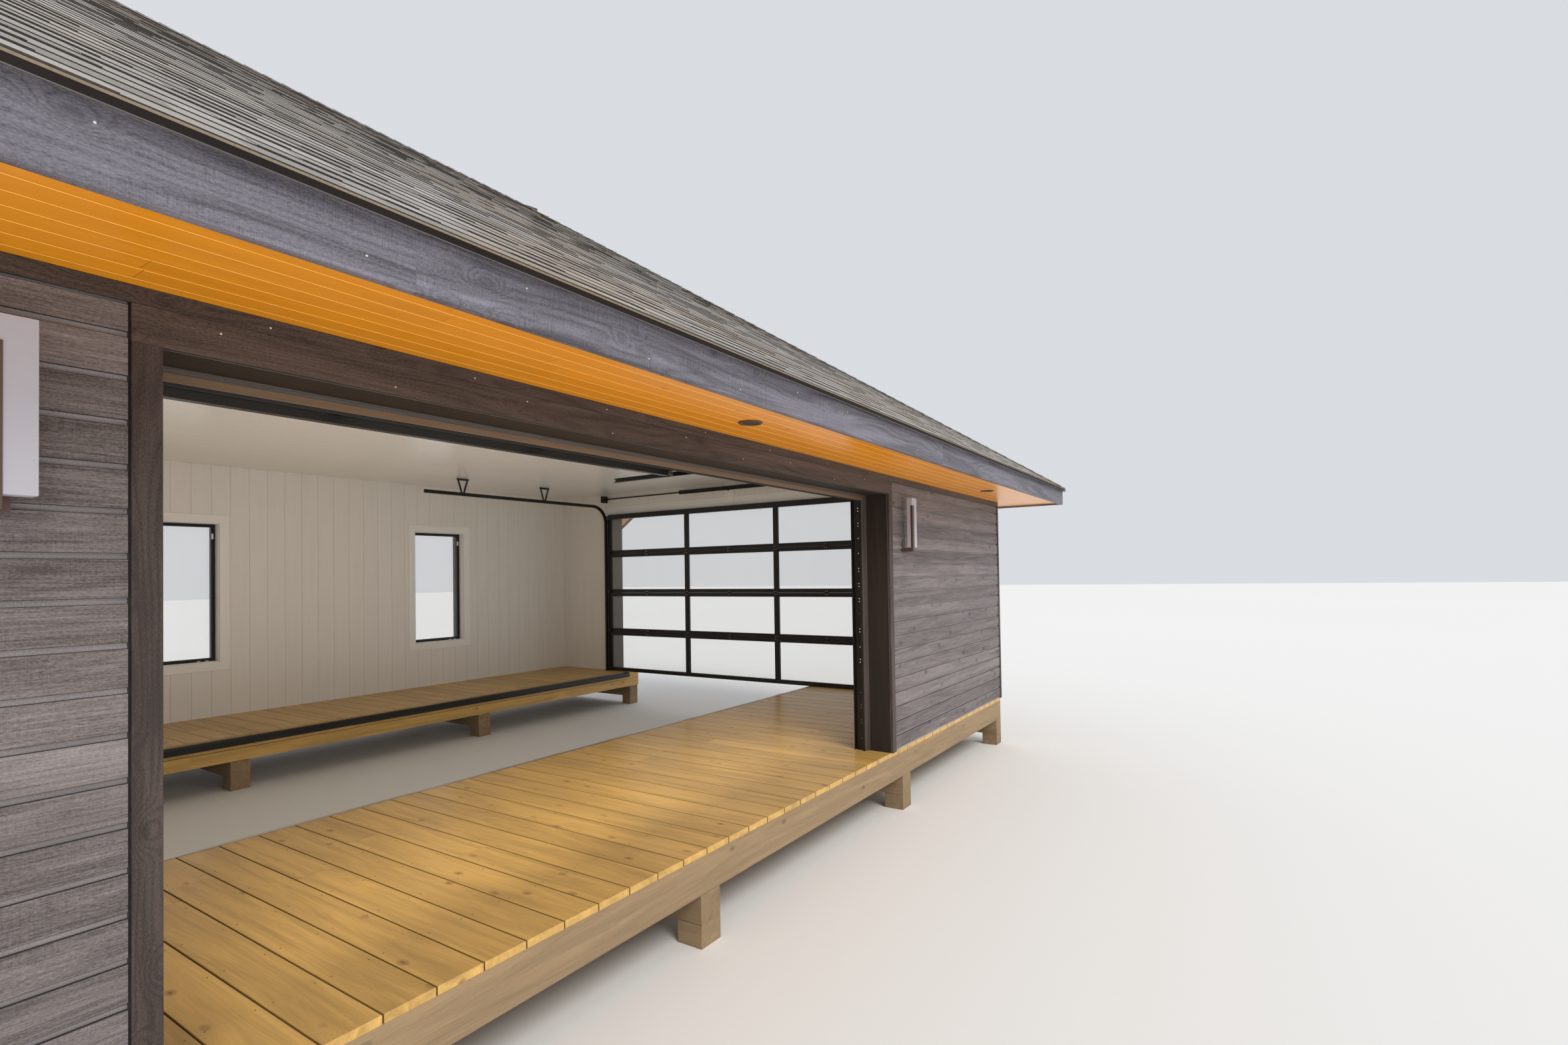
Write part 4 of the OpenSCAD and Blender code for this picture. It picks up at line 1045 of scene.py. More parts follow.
def trim(sizes, hardware, seed):
    """Casings, frieze, corner boards and their nails."""
    top = high("patio_casing").z
    out_y = HALF_WID + TRIM_T
    out_x = HALF_LEN + TRIM_T
    side = PATIO_HALF + CASING_W
    casing = surround(0, (-out_y, -HALF_WID), PATIO_HALF, side, PATIO_TOP, top - SEAM)
    seat(planks("patio_casing_boards", casing, "trim", 0.002, seed), "dark_trim", "patio_casing")
    outer = high("boat_casing")
    casing = surround(1, (HALF_LEN, out_x), BOAT_HALF, outer.y, BOAT_TOP, outer.z)
    seat(planks("boat_casing_boards", casing, "trim", 0.002, seed + 10), "dark_trim", "boat_casing")

    boards = []
    for s in (-1, 1):
        boards += split(box(-out_x, out_x, s * HALF_WID, s * out_y, top, SOFFIT), sizes.longest)
        boards.append(box(HALF_LEN, out_x, s * (GABLE_HALF + 0.0005), s * (HALF_WID - SEAM), top, SOFFIT))
        for end in (-1, 1):
            corner = HALF_LEN - CORNER_W
            boards.append(box(end * corner, end * out_x, s * HALF_WID, s * out_y, DECK, top - SEAM))
            corner = HALF_WID - CORNER_W
            edge = HALF_WID - SEAM
            boards.append(box(end * HALF_LEN, end * out_x, s * corner, s * edge, DECK, top - SEAM))
    boards += split(box(-out_x, -HALF_LEN, SEAM - HALF_WID, HALF_WID - SEAM, top, SOFFIT), sizes.longest)
    seat(planks("frieze_boards", boards, "trim", 0.002, seed + 20), "dark_trim", "frieze_and_corner_trim")

    chance = random.Random(seed)
    spots = []
    head = (PATIO_TOP + top) / 2
    frieze = (top + SOFFIT) / 2
    for z, start, pitch in ((head + 0.03, 0.2, 1.22), (head - 0.03, 0.81, 1.22), (frieze, 0.35, 0.81)):
        x = -side + start
        while x < side:
            spots.append((x + chance.uniform(-0.05, 0.05), -out_y, z + chance.uniform(-0.012, 0.012)))
            x += pitch
    seat(fasten("trim_nails", spots, -Y, hardware.nail, "nail", 0.0016), "dark_trim")


class BOATHOUSE_OT_trim(bpy.types.Operator):
    """Set casings, frieze and corner boards"""

    bl_idname = "boathouse.trim"
    bl_label = "Trim"

    def execute(self, context):
        """Makes the pieces."""
        return build(context, trim, "boards", "hardware", seed=100)


def gable_slopes(name, xs, half, zs, look, edge, seeds, steps):
    """The two boards under the gable's slopes, each with its own seed; zs are counted from the slope."""
    slopes = []
    for s, seed in zip((-1, 1), seeds):
        board = planks(name, [box(*xs, s * SEAM, s * half, *zs)], look, edge, seed, steps)
        reshape(board, raise_to_gable)
        slopes.append(board)
    return slopes


def fascia(sizes, hardware, seed):
    """Level fascia boards and the two sloping ones of the gable."""
    level = [b for b in solids("fascia_boards") if b[1].z - b[0].z < 0.25]
    boards = [part for b in level for part in split(b, sizes.longest)]
    depth = max(b[1].z - b[0].z for b in level)
    x1 = max(b[1].x for b in level)
    x0 = x1 - min(b[1].x - b[0].x for b in level)
    half = GABLE_HALF - (EAVE_X - x1)
    fascias = [planks("fascia_level", boards, "fascia", 0.003, seed, 3)]
    fascias += gable_slopes("fascia_gable", (x0, x1), half, (-depth, 0), "fascia", 0.003,
                            (seed + 39, seed + 41), 3)
    seat(join("fascia_planks", fascias), "dark_fascia", "fascia_boards")
    chance = random.Random(seed + 1)
    spots, outs = [], []
    for b in level:
        along = 0 if b[1].x - b[0].x > b[1].y - b[0].y else 1
        off = 1 - along
        place = b[0][along] + 0.25
        while place < b[1][along]:
            spot = (b[0] + b[1]) / 2
            spot[along] = place + chance.uniform(-0.06, 0.06)
            height = b[0].z + 0.05 if chance.random() < 0.7 else b[1].z - 0.045
            spot.z = height + chance.uniform(-0.012, 0.012)
            sign = 1 if spot[off] > 0 else -1
            spot[off] = b[1][off] if sign > 0 else b[0][off]
            spots.append(spot)
            outs.append((X, Y)[off] * sign)
            place += 0.61
    seat(fasten("fascia_nails", spots, outs, hardware.nail, "nail", 0.0016), "dark_fascia")


class BOATHOUSE_OT_fascia(bpy.types.Operator):
    """Set the fascia boards"""

    bl_idname = "boathouse.fascia"
    bl_label = "Fascia"

    def execute(self, context):
        """Makes the pieces."""
        return build(context, fascia, "boards", "hardware", seed=200)


def raise_to_gable(places):
    """Lifts level boards to the slopes under the gable."""
    lifted = places.copy()
    lifted[:, 2] += gable_under(0) - SLOPE * np.abs(places[:, 1])
    return lifted


SOFFIT_T = 0.016
FASCIA_T = 0.038


def soffit(sizes, seed):
    """Grooved soffit boards round the eaves and under the gable."""
    out_x = high("fascia_boards").x - FASCIA_T
    out_y = high("fascia_boards").y - FASCIA_T
    longest = 4.2
    before = 0.0235

    def strip(name, face, us, vs, number, skip=(), limit=None):
        boards = rows(us, vs, sizes.soffit_pitch, longest, seed + number, vs[0] - before, skip)
        return lay(name, face, boards, SOFFIT_T, "soffit", 0.0006, sizes.soffit_groove, seed=seed + number,
                   limit=limit)

    def side(name, along, away, near, far, reach, number, skip=()):
        def mitre(u, v):
            free = reach + (v - near) - HAIR
            return np.clip(u, -free, free), v
        end = reach + far - near
        face = Face((0, 0, SOFFIT + SOFFIT_T), along, away)
        return strip(name, face, (-end, end), (near, far), number, skip, mitre)

    gable = GABLE_HALF + 0.0005
    parts = [
        side("soffit_front", X, -Y, HALF_WID, out_y, HALF_LEN, 1),
        side("soffit_back", -X, Y, HALF_WID, out_y, HALF_LEN, 2),
        side("soffit_near", -Y, -X, HALF_LEN, out_x, HALF_WID, 3),
        side("soffit_boat", Y, X, HALF_LEN, out_x, HALF_WID, 4, [(-gable, gable, 0, 100)]),
    ]
    band = max(b[1].z for b in solids("soffit_panels")) - gable_under(0)
    for s in (-1, 1):
        us = sorted((s * 0.0005, s * (GABLE_HALF - 0.0005)))
        sloping = strip("soffit_gable", Face((0, 0, band), Y, X), us, (HALF_LEN, out_x), 6 + s)
        reshape(sloping, raise_to_gable)
        parts.append(sloping)
    seat(join("soffit_boards", parts), "soffit_timber", "soffit_panels")


class BOATHOUSE_OT_soffit(bpy.types.Operator):
    """Lay the soffit boards"""

    bl_idname = "boathouse.soffit"
    bl_label = "Soffit"

    def execute(self, context):
        """Makes the pieces."""
        return build(context, soffit, "boards", seed=300)


def courses(reach, top, sizes, seed):
    """Shingle tabs in courses; reach(v) gives the spans of the slope at height v."""
    chance = random.Random(seed)
    tabs = []
    v = 0.0
    while v < top:
        over = min(v + sizes.shingle_course, top)
        for lower, upper in zip(reach(v), reach(over)):
            left, right = min(lower[0], upper[0]), max(lower[1], upper[1])
            u = left - chance.uniform(0, sizes.shingle_tab)
            while u < right:
                width = sizes.shingle_tab * chance.uniform(0.55, 1.35)
                if u + width > left:
                    tabs.append((max(u, left), min(u + width, right), v, over))
                u += width
        v += sizes.shingle_course
    return tabs


def keep_inside(places):
    """Holds places within the frame's own limits."""
    return np.clip(places, np.array(CAD_BOX[0]), np.array(CAD_BOX[1]))


def shingle_slope(name, face, reach, top, sizes, seed):
    """One slope of laminated shingles: thin tabs and thicker ones."""
    tabs = courses(reach, top, sizes, seed)
    chance = random.Random(seed + 100)
    thick = [chance.random() < 0.5 for _ in tabs]

    def hold(side):
        def limit(u, v):
            spans = [np.array([reach(x)[side][k] for x in np.clip(v, 0, top)]) for k in (0, 1)]
            return np.clip(u, spans[0], np.maximum(spans[0], spans[1])), np.clip(v, 0, None)
        return limit

    parts = []
    sides = len(reach(0.0))
    for side in range(sides):
        middle = [sum(reach(min(t[2], top))[side]) / 2 for t in tabs]
        for layer in (False, True):
            chosen = [t for t, k, m in zip(tabs, thick, middle)
                      if k == layer and (sides == 1 or (t[0] + t[1]) * m > 0)]
            deep = sizes.shingle_thick * (1.0 if layer else 0.62)
            parts.append(lay(name, face, chosen, deep, "shingles", -0.012, 0.0008,
                             seed=seed + side + layer * 7, joint=0.0012, thin=0.0012, limit=hold(side)))
    slope = join(name, parts)
    reshape(slope, keep_inside)
    return slope


def shingles(sizes, seed):
    """Shingles on the five roof surfaces."""
    plan = 1 / math.sqrt(1 + SLOPE * SLOPE)
    top = EAVE_Y / plan - 0.02

    def hipped(half):
        return lambda v: [(plan * v - half, half - plan * v)]

    def boat_end(v):
        inner = max(GABLE_HALF - plan * v, 0.0)
        outer = EAVE_Y - plan * v
        return [(-outer, -inner), (inner, outer)]

    def slope(number, name, inwards, out, reach, to=top):
        face = Face(Z * EAVE_Z - inwards * out, inwards.cross(Z), inwards + Z * SLOPE)
        return shingle_slope(name, face, reach, to, sizes, seed + number)

    seat(slope(0, "shingles_front", Y, EAVE_Y, hipped(EAVE_X)), "shingles")
    seat(slope(1, "shingles_back", -Y, EAVE_Y, hipped(EAVE_X)), "shingles")
    seat(slope(2, "shingles_near_end", X, EAVE_X, hipped(EAVE_Y)), "shingles")
    seat(slope(3, "shingles_boat_end", -X, EAVE_X, boat_end), "shingles")
    to = GABLE_HALF / plan - 0.01
    sides = [slope(4, "shingles_gable_a", -Y, GABLE_HALF, lambda v: [(-EAVE_X, plan * v - EAVE_X)], to),
             slope(5, "shingles_gable_b", Y, GABLE_HALF, lambda v: [(EAVE_X - plan * v, EAVE_X)], to)]
    seat(join("shingles_gable", sides), "shingles")
    recoat("shingles", "roof_front", "roof_back", "roof_near_end", "roof_boat_end", "roof_gable")


class BOATHOUSE_OT_shingles(bpy.types.Operator):
    """Lay the shingles"""

    bl_idname = "boathouse.shingles"
    bl_label = "Shingles"

    def execute(self, context):
        """Makes the pieces."""
        return build(context, shingles, "boards", seed=400)


def roof_edges(sizes, seed):
    """Lapped caps on the hips and ridges, and the metal edge along the eaves."""
    wing = 0.145
    tip = 0.007
    lap = 0.02
    front, back, near, boat = ((Z + way * SLOPE).normalized() for way in (-Y, Y, -X, X))
    lines = []
    for sx in (-1, 1):
        for sy in (-1, 1):
            lines.append((Vector((sx * EAVE_X, sy * EAVE_Y, EAVE_Z)), Vector((sx * RIDGE_HALF, 0, RIDGE_Z)),
                          (near if sx < 0 else boat, front if sy < 0 else back)))
    lines.append((Vector((-RIDGE_HALF, 0, RIDGE_Z)), Vector((RIDGE_HALF, 0, RIDGE_Z)), (front, back)))
    gable_z = EAVE_Z + SLOPE * GABLE_HALF
    lines.append((Vector((EAVE_X, 0, gable_z)), Vector((EAVE_X - GABLE_HALF, 0, gable_z)), (front, back)))
    parts = []
    for number, (foot, head, normals) in enumerate(lines):
        reach = (head - foot).length
        count = round(reach / sizes.shingle_course)
        along = (head - foot).normalized()
        away = (normals[0] + normals[1]) / 2
        for normal in normals:
            face = Face(foot, along, normal.cross(along))
            vs = (-wing, 0.0) if face.up.dot(away) > 0 else (0.0, wing)
            caps = [(reach * i / count, reach * (i + 1) / count + lap, *vs) for i in range(count)]
            parts.append(lay("caps", face, caps, 0.006, "shingle_caps", edge=0.001, seed=seed + number,
                             joint=0.0, lift=sizes.shingle_thick - 0.002, tip=tip))
    caps = join("hip_and_ridge_shingles", parts)
    reshape(caps, keep_inside)
    seat(caps, "shingles", "hip_and_ridge_caps")
    eave_edge(seed)


def eave_edge(seed):
    """Folded metal edge under the first row of shingles, along the eaves and up the gable."""
    corner = high("drip_edge")
    longest = 3.05
    bands = (("drip_metal", "drip", "black_metal", 0.0016, 0.0032, ROOF_T - 0.008),
             # The hem band is a painted highlight along the drip's lower lip.
             ("drip_hem", "hem", "black_metal", 0.0, 0.0, 0.0030),
             ("starter_shingles", "starter", "shingles", 0.0, ROOF_T - 0.0078, ROOF_T - SEAM))
    for name, look, slot, back, z0, z1 in bands:
        x1, y1 = corner.x - back, corner.y - back
        z0, z1 = EAVE_Z - ROOF_T + z0, EAVE_Z - ROOF_T + z1
        rise = z0 - EAVE_Z + ROOF_T
        level = []
        for s in (-1, 1):
            level += split(box(-x1, x1, s * EAVE_Y, s * y1, z0, z1), longest)
            level.append(box(EAVE_X, x1, s * (GABLE_HALF + 0.001), s * EAVE_Y, z0, z1))
        level += split(box(-x1, -EAVE_X, -EAVE_Y, EAVE_Y, z0, z1), longest)
        parts = [planks(name + "_level", level, look, 0.0005, seed, 1)]
        parts += gable_slopes(name + "_slope", (EAVE_X, x1), GABLE_HALF, (rise, z1 - z0 + rise), look, 0.0005,
                              (seed, seed), 1)
        seat(join(name, parts), slot, "drip_edge")


class BOATHOUSE_OT_roof_edges(bpy.types.Operator):
    """Set hip and ridge caps and the metal edge"""

    bl_idname = "boathouse.roof_edges"
    bl_label = "Roof edges"

    def execute(self, context):
        """Makes the pieces."""
        return build(context, roof_edges, "boards", seed=450)


DECK_T = 0.038


def deck(sizes, hardware, seed):
    """Deck boards across the building, with two screws at each joist."""
    opening = [(SLIP_LOW.y, SLIP_HIGH.y, -HALF_LEN - 1, -SLIP_LOW.x)]
    pitch = sizes.deck_width + sizes.deck_gap
    boards = rows((-HALF_WID, HALF_WID), (-HALF_LEN, HALF_LEN), pitch, sizes.longest, seed, None, opening)
    piece = lay("deck_planks", Face((0, 0, DECK - DECK_T), Y, -X), boards, DECK_T, "deck", sizes.deck_gap,
                0.004, steps=2, seed=seed, joint=0.0015)
    seat(piece, "deck_boards", "front_deck", "back_deck", "near_deck")
    joists = [b for node in ("front_deck_frame", "back_deck_frame", "near_deck_frame") for b in solids(node)
              if b[1].x - b[0].x > 0.5]
    chance = random.Random(seed)
    spots = []
    inset = 0.028
    for u0, u1, v0, v1 in boards:
        if v1 - v0 < 0.09 or abs(v0 + v1) / 2 > INNER_X:
            continue
        for lowest, highest in joists:
            y = (lowest.y + highest.y) / 2
            if u0 + 0.02 < y < u1 - 0.02 and lowest.x < -v0 < highest.x and abs(y) < INNER_Y:
                for v in (v0 + inset, v1 - sizes.deck_gap - inset):
                    x = -v + chance.uniform(-0.003, 0.003)
                    spots.append((x, y + chance.uniform(-0.006, 0.006), DECK))
    seat(fasten("deck_screws", spots, Z, hardware.screw, "screw", 0.0012, 6, 0.75), "zinc_steel")


class BOATHOUSE_OT_deck(bpy.types.Operator):
    """Lay the deck boards"""

    bl_idname = "boathouse.deck"
    bl_label = "Deck"

    def execute(self, context):
        """Makes the pieces."""
        return build(context, deck, "boards", "hardware", seed=500)


def slip(sizes, seed):
    """Boards, metal edge and bumper round the slip."""
    thick = 0.025
    y0, y1 = SLIP_LOW.y, SLIP_HIGH.y
    start = SLIP_LOW.x + thick
    middle = (SLIP_LOW.z + DECK) / 2
    boards = []
    for z0, z1 in ((SLIP_LOW.z, middle - 0.003), (middle, DECK)):
        boards += split(box(start, SLIP_HIGH.x, y0, y0 + thick, z0, z1), sizes.longest)
        boards += split(box(start, SLIP_HIGH.x, y1 - thick, y1, z0, z1), sizes.longest)
        boards.append(box(SLIP_LOW.x, start - SEAM, y0, y1, z0, z1))
    seat(planks("slip_boards", boards, "deck", 0.002, seed), "deck_boards", "slip_edge_boards")
    inner = y0 + thick
    strip = [box(start, INNER_X, inner, inner + 0.003, DECK - 0.028, DECK + 0.001),
             box(start, INNER_X, y0 - 0.004, inner + 0.003, DECK + 0.001, DECK + 0.004)]
    seat(planks("slip_metal_edge", strip, "zinc", 0.001, seed), "zinc_steel")
    bumper = [(low("slip_bumper"), high("slip_bumper"))]
    seat(planks("slip_bumper_profile", bumper, "bumper", 0.021, seed, 6), "black_rubber", "slip_bumper")


class BOATHOUSE_OT_slip(bpy.types.Operator):
    """Set the slip boards, metal edge and bumper"""

    bl_idname = "boathouse.slip"
    bl_label = "Slip"

    def execute(self, context):
        """Makes the pieces."""
        return build(context, slip, "boards", seed=550)


def timbers(seed):
    """Posts, beams, rims and joists as sawn timber."""
    for number, node in enumerate(("front_posts_and_beams", "back_posts_and_beams", "near_posts_and_beams",
                                   "front_deck_frame", "back_deck_frame", "near_deck_frame")):
        edge = 0.006 if "posts" in node else 0.003
        piece = planks(node + "_timber", solids(node), "timber", edge, seed + number * 50)
        seat(piece, "structural_timber", node)


class BOATHOUSE_OT_timbers(bpy.types.Operator):
    """Set posts, beams and joists"""

    bl_idname = "boathouse.timbers"
    bl_label = "Timbers"

    def execute(self, context):
        """Makes the pieces."""
        return build(context, timbers, seed=600)


DOOR_TOP_SEAM = 0.190


def lining(sizes, seed):
    """Grooved white boards on the inner walls, and the plain board over the boat door."""
    pitch = sizes.lining_pitch
    first = 0.1195 - 40 * pitch
    thick = sizes.lining_thick

    def wall(name, origin, up, half, number, holes=()):
        boards = rows((DECK, CEILING), (-half, half), pitch, 5.0, seed + number, first, holes)
        seat(lay(name, Face(origin, Z, up), boards, thick, "lining", 0.0008, sizes.groove,
                 seed=seed + number), "white_lining")

    edges = window_boxes()
    inner = high("window_casings").z - edges[0][1].z
    holes = [(lowest.z - inner + 0.003, highest.z + inner - 0.003,
              -highest.x - inner + 0.003, -lowest.x + inner - 0.003) for lowest, highest in edges]
    wall("lining_back", (0, INNER_Y, 0), -X, INNER_X, 1, holes)
    wall("lining_near_end", (-INNER_X, 0, 0), -Y, INNER_Y - thick, 2)
    side = PATIO_HALF + JAMB_T
    wall("lining_front", (0, -INNER_Y, 0), X, INNER_X, 3, [(0, PATIO_TOP + JAMB_T, -side, side)])
    seam = BOAT_TOP + DOOR_TOP_SEAM
    door = high("boat_tracks").y + 0.020
    gap = high("boat_door_sections").y + 0.001
    head = high("boat_door_sections").z + 0.012
    wall("lining_boat_end", (INNER_X, 0, 0), Y, INNER_Y - thick, 4, [(0, seam, -door, door)])
    plain = [box(INNER_X - 0.002, INNER_X, -door, door, head, seam - 0.001),
             box(INNER_X - 0.020, INNER_X - 0.0025, -0.09, 0.09, seam - 0.11, CEILING)]
    plain += mirrored(1, INNER_X - 0.002, INNER_X, gap, door, DECK, head - 0.001)
    seat(planks("lining_head_board", plain, "white_trim", 0.0008, seed + 9), "white_lining")


class BOATHOUSE_OT_lining(bpy.types.Operator):
    """Lay the white inner boards"""

    bl_idname = "boathouse.lining"
    bl_label = "Lining"

    def execute(self, context):
        """Makes the pieces."""
        return build(context, lining, "boards", seed=700)


def ceiling(sizes, seed):
    """Grooved boards along the ceiling with one seam across."""
    top = high("ceiling").z
    seam = 1.8575
    boards = []
    for us in ((-INNER_X, seam), (seam, INNER_X)):
        boards += rows(us, (-INNER_Y, INNER_Y), sizes.lining_pitch, 9.0, seed)
    piece = lay("ceiling_boards", Face((0, 0, top), X, -Y), boards, top - CEILING, "ceiling", 0.0008,
                sizes.soffit_groove, seed=seed, joint=0.0012)
    seat(piece, "white_lining", "ceiling")


class BOATHOUSE_OT_ceiling(bpy.types.Operator):
    """Lay the ceiling boards"""

    bl_idname = "boathouse.ceiling"
    bl_label = "Ceiling"

    def execute(self, context):
        """Makes the pieces."""
        return build(context, ceiling, "boards", seed=750)


STOP_W = 0.050
STOP_T = 0.028


def jambs(seed):
    """Jamb boards, the stop frame with its seal, and the boat opening's jambs; the head stop is tan as
    painted light from below, the side stops dark.
    """
    jamb = surround(0, (-HALF_WID, -INNER_Y), PATIO_HALF, PATIO_HALF + JAMB_T, PATIO_TOP, PATIO_TOP + JAMB_T)
    seat(planks("patio_jamb_boards", jamb, "jamb_dark", 0.002, seed), "jamb_timber", "patio_jamb")
    edge, top = PATIO_HALF - HAIR, PATIO_TOP - HAIR
    side, under = PATIO_HALF - STOP_W, PATIO_TOP - STOP_W
    outer = -INNER_Y - STOP_T
    *uprights, head = surround(0, (outer, -INNER_Y), side, edge, under, top)
    # Side stops in the darker mould finish, the head stop in the tan finish: a shaded and a lit copy of one
    # stop timber.
    stops = [planks("stop_sides", uprights, "mould", 0.002, seed + 5),
             planks("stop_head", [head], "jamb", 0.002, seed + 7)]
    seat(join("patio_stop_boards", stops), "jamb_timber")
    ridges = []
    for i in range(4):
        deep = 0.020 - i * 0.0045
        y = outer - SEAM - i * 0.006
        ridges += surround(0, (y - 0.0052, y), PATIO_HALF - deep, edge, PATIO_TOP - deep, top)
    seat(planks("patio_stop_mould", ridges, "mould", 0.0016, seed + 8), "jamb_timber")
    # A narrow bead along the jamb's outer edge in the lighter mould finish, painted as a highlight line.
    lip = surround(0, (-HALF_WID, 0.006 - HALF_WID), PATIO_HALF - 0.004, edge, PATIO_TOP - 0.004, top)
    seat(planks("patio_jamb_lip", lip, "mould", 0.001, seed + 18, 1), "jamb_timber")
    fins = []
    for i in range(3):
        y = outer + 0.006 + i * 0.008
        fins.append(box(-side, side, y, y + 0.0035, under - 0.010, under - HAIR))
        fins += mirrored(0, side - 0.010, side - HAIR, y, y + 0.0035, DECK, under - 0.0105)
    seat(planks("patio_seal_fins", fins, "rubber", 0.001, seed + 9, 1), "black_rubber")
    jamb = surround(1, (INNER_X, HALF_LEN), BOAT_HALF, BOAT_HALF + JAMB_T, BOAT_TOP, BOAT_TOP + JAMB_T)
    seat(planks("boat_jamb_boards", jamb, "jamb_dark", 0.002, seed + 12), "dark_trim", "boat_jamb")


class BOATHOUSE_OT_jambs(bpy.types.Operator):
    """Set jambs, stops and seals"""

    bl_idname = "boathouse.jambs"
    bl_label = "Jambs"

    def execute(self, context):
        """Makes the pieces."""
        return build(context, jambs, seed=800)


def ring(opening, wider, face, y0, y1):
    """Four boards round an opening that is made wider, the upright ones between the level ones."""
    lowest, highest = opening
    x0, x1, z0, z1 = lowest.x - wider, highest.x + wider, lowest.z - wider, highest.z + wider
    sides = (z0 + face + HAIR, z1 - face - HAIR)
    return [box(x0, x1, y0, y1, z1 - face, z1), box(x0, x1, y0, y1, z0, z0 + face),
            box(x0, x0 + face, y0, y1, *sides), box(x1 - face, x1, y0, y1, *sides)]


def windows(seed):
    """Casings, jambs, frames with sashes and latches."""
    edges = window_boxes()
    inner_w = high("window_casings").z - edges[0][1].z
    jamb_w = 0.010
    inner, outer, jambs_in, jambs_out, latches = [], [], [], [], []
    for opening in edges:
        (_, near, z0), (x1, far, z1) = opening
        inner += ring(opening, inner_w, inner_w, INNER_Y - TRIM_T, INNER_Y)
        outer += ring(opening, CASING_W, CASING_W, HALF_WID, HALF_WID + TRIM_T)
        jambs_in += ring(opening, -0.0005, jamb_w, INNER_Y, near - 0.0005)
        jambs_out += ring(opening, -0.0005, jamb_w, far + 0.0005, HALF_WID)
        latches.append(box(x1 - 0.050, x1 - 0.030, near - 0.014, near - 0.0005, z1 - 0.20, z1 - 0.13))
        for at in (0.115, 0.200):
            latches.append(box(x1 - at, x1 - at + 0.030, near - 0.008, near + 0.0115,
                               z0 + 0.011, z0 + 0.0215))
    seat(planks("window_casings_inner", inner, "white_trim", 0.002, seed), "white_lining", "window_casings")
    seat(planks("window_casings_outer", outer, "trim", 0.002, seed + 60), "dark_trim", "window_casings")
    seat(planks("window_jambs_inner", jambs_in, "white_trim", 0.001, seed + 20), "white_lining")
    seat(planks("window_jambs_outer", jambs_out, "trim", 0.001, seed + 30), "dark_trim")
    seat(planks("window_latches", latches, "plastic", 0.002, seed + 50), "white_plastic")
    seat(dress("window_frames", "black"), "black_metal", "window_frames")
    recoat("glass", "window_glass")


class BOATHOUSE_OT_windows(bpy.types.Operator):
    """Set window casings, frames and latches"""

    bl_idname = "boathouse.windows"
    bl_label = "Windows"

    def execute(self, context):
        """Makes the pieces."""
        return build(context, windows, seed=850)


DOOR_T = 0.045
STILE_W = 0.075
MULLION_W = 0.064
RAIL_H = 0.050
PANE_COLS = 3


def panels(node, along, inside):
    """Inner faces of the door sections, each with its width and height limits and its depth."""
    soup = merged(node)
    found = []
    for shell in shells(soup):
        areas = {}
        for face in dict.fromkeys(face for vert in shell for face in vert.link_faces):
            if abs(face.normal.dot(along)) < 0.5:
                plane = (*(round(n, 2) for n in face.normal), round(face.verts[0].co.dot(face.normal), 3))
                areas[plane] = areas.get(plane, 0.0) + face.calc_area()
        plane = max((k for k in areas if Vector(k[:3]).dot(inside) > 0.3), key=areas.get)
        back = max((k for k in areas if Vector(k[:3]).dot(inside) < -0.3), key=areas.get)
        normal = Vector(plane[:3]).normalized()
        up = normal.cross(along)
        corners = np.array([v.co for v in shell])
        us, vs = corners @ np.array(along), corners @ np.array(up)
        face = Face(normal * plane[3], along, up)
        found.append((face, us.min(), us.max(), vs.min(), vs.max(), plane[3] + back[3]))
    soup.free()
    return found


def door(prefix, along, inside, hardware, seed):
    """Frames, beads, bolts and seals of one overhead door; gives its hinges."""
    sections, hinges = prefix + "_sections", prefix + "_hinges"
    bead = hardware.bead
    rise = 0.0155
    faces = panels(sections, along, inside)
    parts = []
    for face, u0, u1, v0, v1, deep in faces:
        pane_w = (u1 - u0 - 2 * STILE_W - (PANE_COLS - 1) * MULLION_W) / PANE_COLS
        under, over = v0 + RAIL_H, v1 - RAIL_H
        level, upright = [], []
        for column in range(PANE_COLS):
            left = u0 + STILE_W + column * (pane_w + MULLION_W)
            right = left + pane_w
            level += [(left, right, under, under + bead), (left, right, over - bead, over)]
            upright += [(under + bead, over - bead, left, left + bead),
                        (under + bead, over - bead, right - bead, right)]
        across = [(a, b, -d, -c) for a, b, c, d in upright]
        turned_level = [(-b, -a, c, d) for a, b, c, d in level]
        rear = Face(face.origin - face.out * deep, -face.along, face.up)
        for plane, lying, standing in ((face, level, across), (rear, turned_level, upright)):
            for base, boards in ((plane, lying), (Face(plane.origin, plane.up, -plane.along), standing)):
                parts.append(lay("bead", base, boards, rise, "black", seed=seed, joint=0.0,
                                 lift=-rise - 0.004))
        lips = [(u0 + 0.002, u1 - 0.002, *vs) for vs in (
            (v0 + 0.004, v0 + 0.010), (v1 - 0.010, v1 - 0.004), (under - 0.008, under - 0.003),
            (over + 0.003, over + 0.008))]
        parts.append(lay("lip", face, lips, 0.0018, "black", edge=0.0006, seed=seed, joint=0.0))
    seat(join(prefix + "_beads", parts), "black_metal")
    seat(dress(sections, "black", hardware.worn_edge), "black_metal", sections)
    metal = seat(dress(hinges, "track", 0.0008, 1), "zinc_steel", hinges)
    recoat("glass", prefix + "_glass")

    spots, outs = [], []
    for lowest, highest in solids(hinges):
        if not 0.05 < abs((highest - lowest).dot(along)) < 0.075:
            continue
        centre = (lowest + highest) / 2
        u = centre.dot(along)
        for face, _, _, v0, v1, _ in faces:
            for edge, step in ((v0, 0.024), (v1, -0.024)):
                if (face.point(u, edge) - centre).length < 0.03:
                    for shift in (-0.018, 0.018):
                        spots.append(face.point(u + shift, edge + step, 0.0055))
                        outs.append(face.out)
    seat(fasten(prefix + "_bolts", spots, outs, hardware.bolt, "zinc", 0.005, 6, 0.92), "zinc_steel")
    return metal


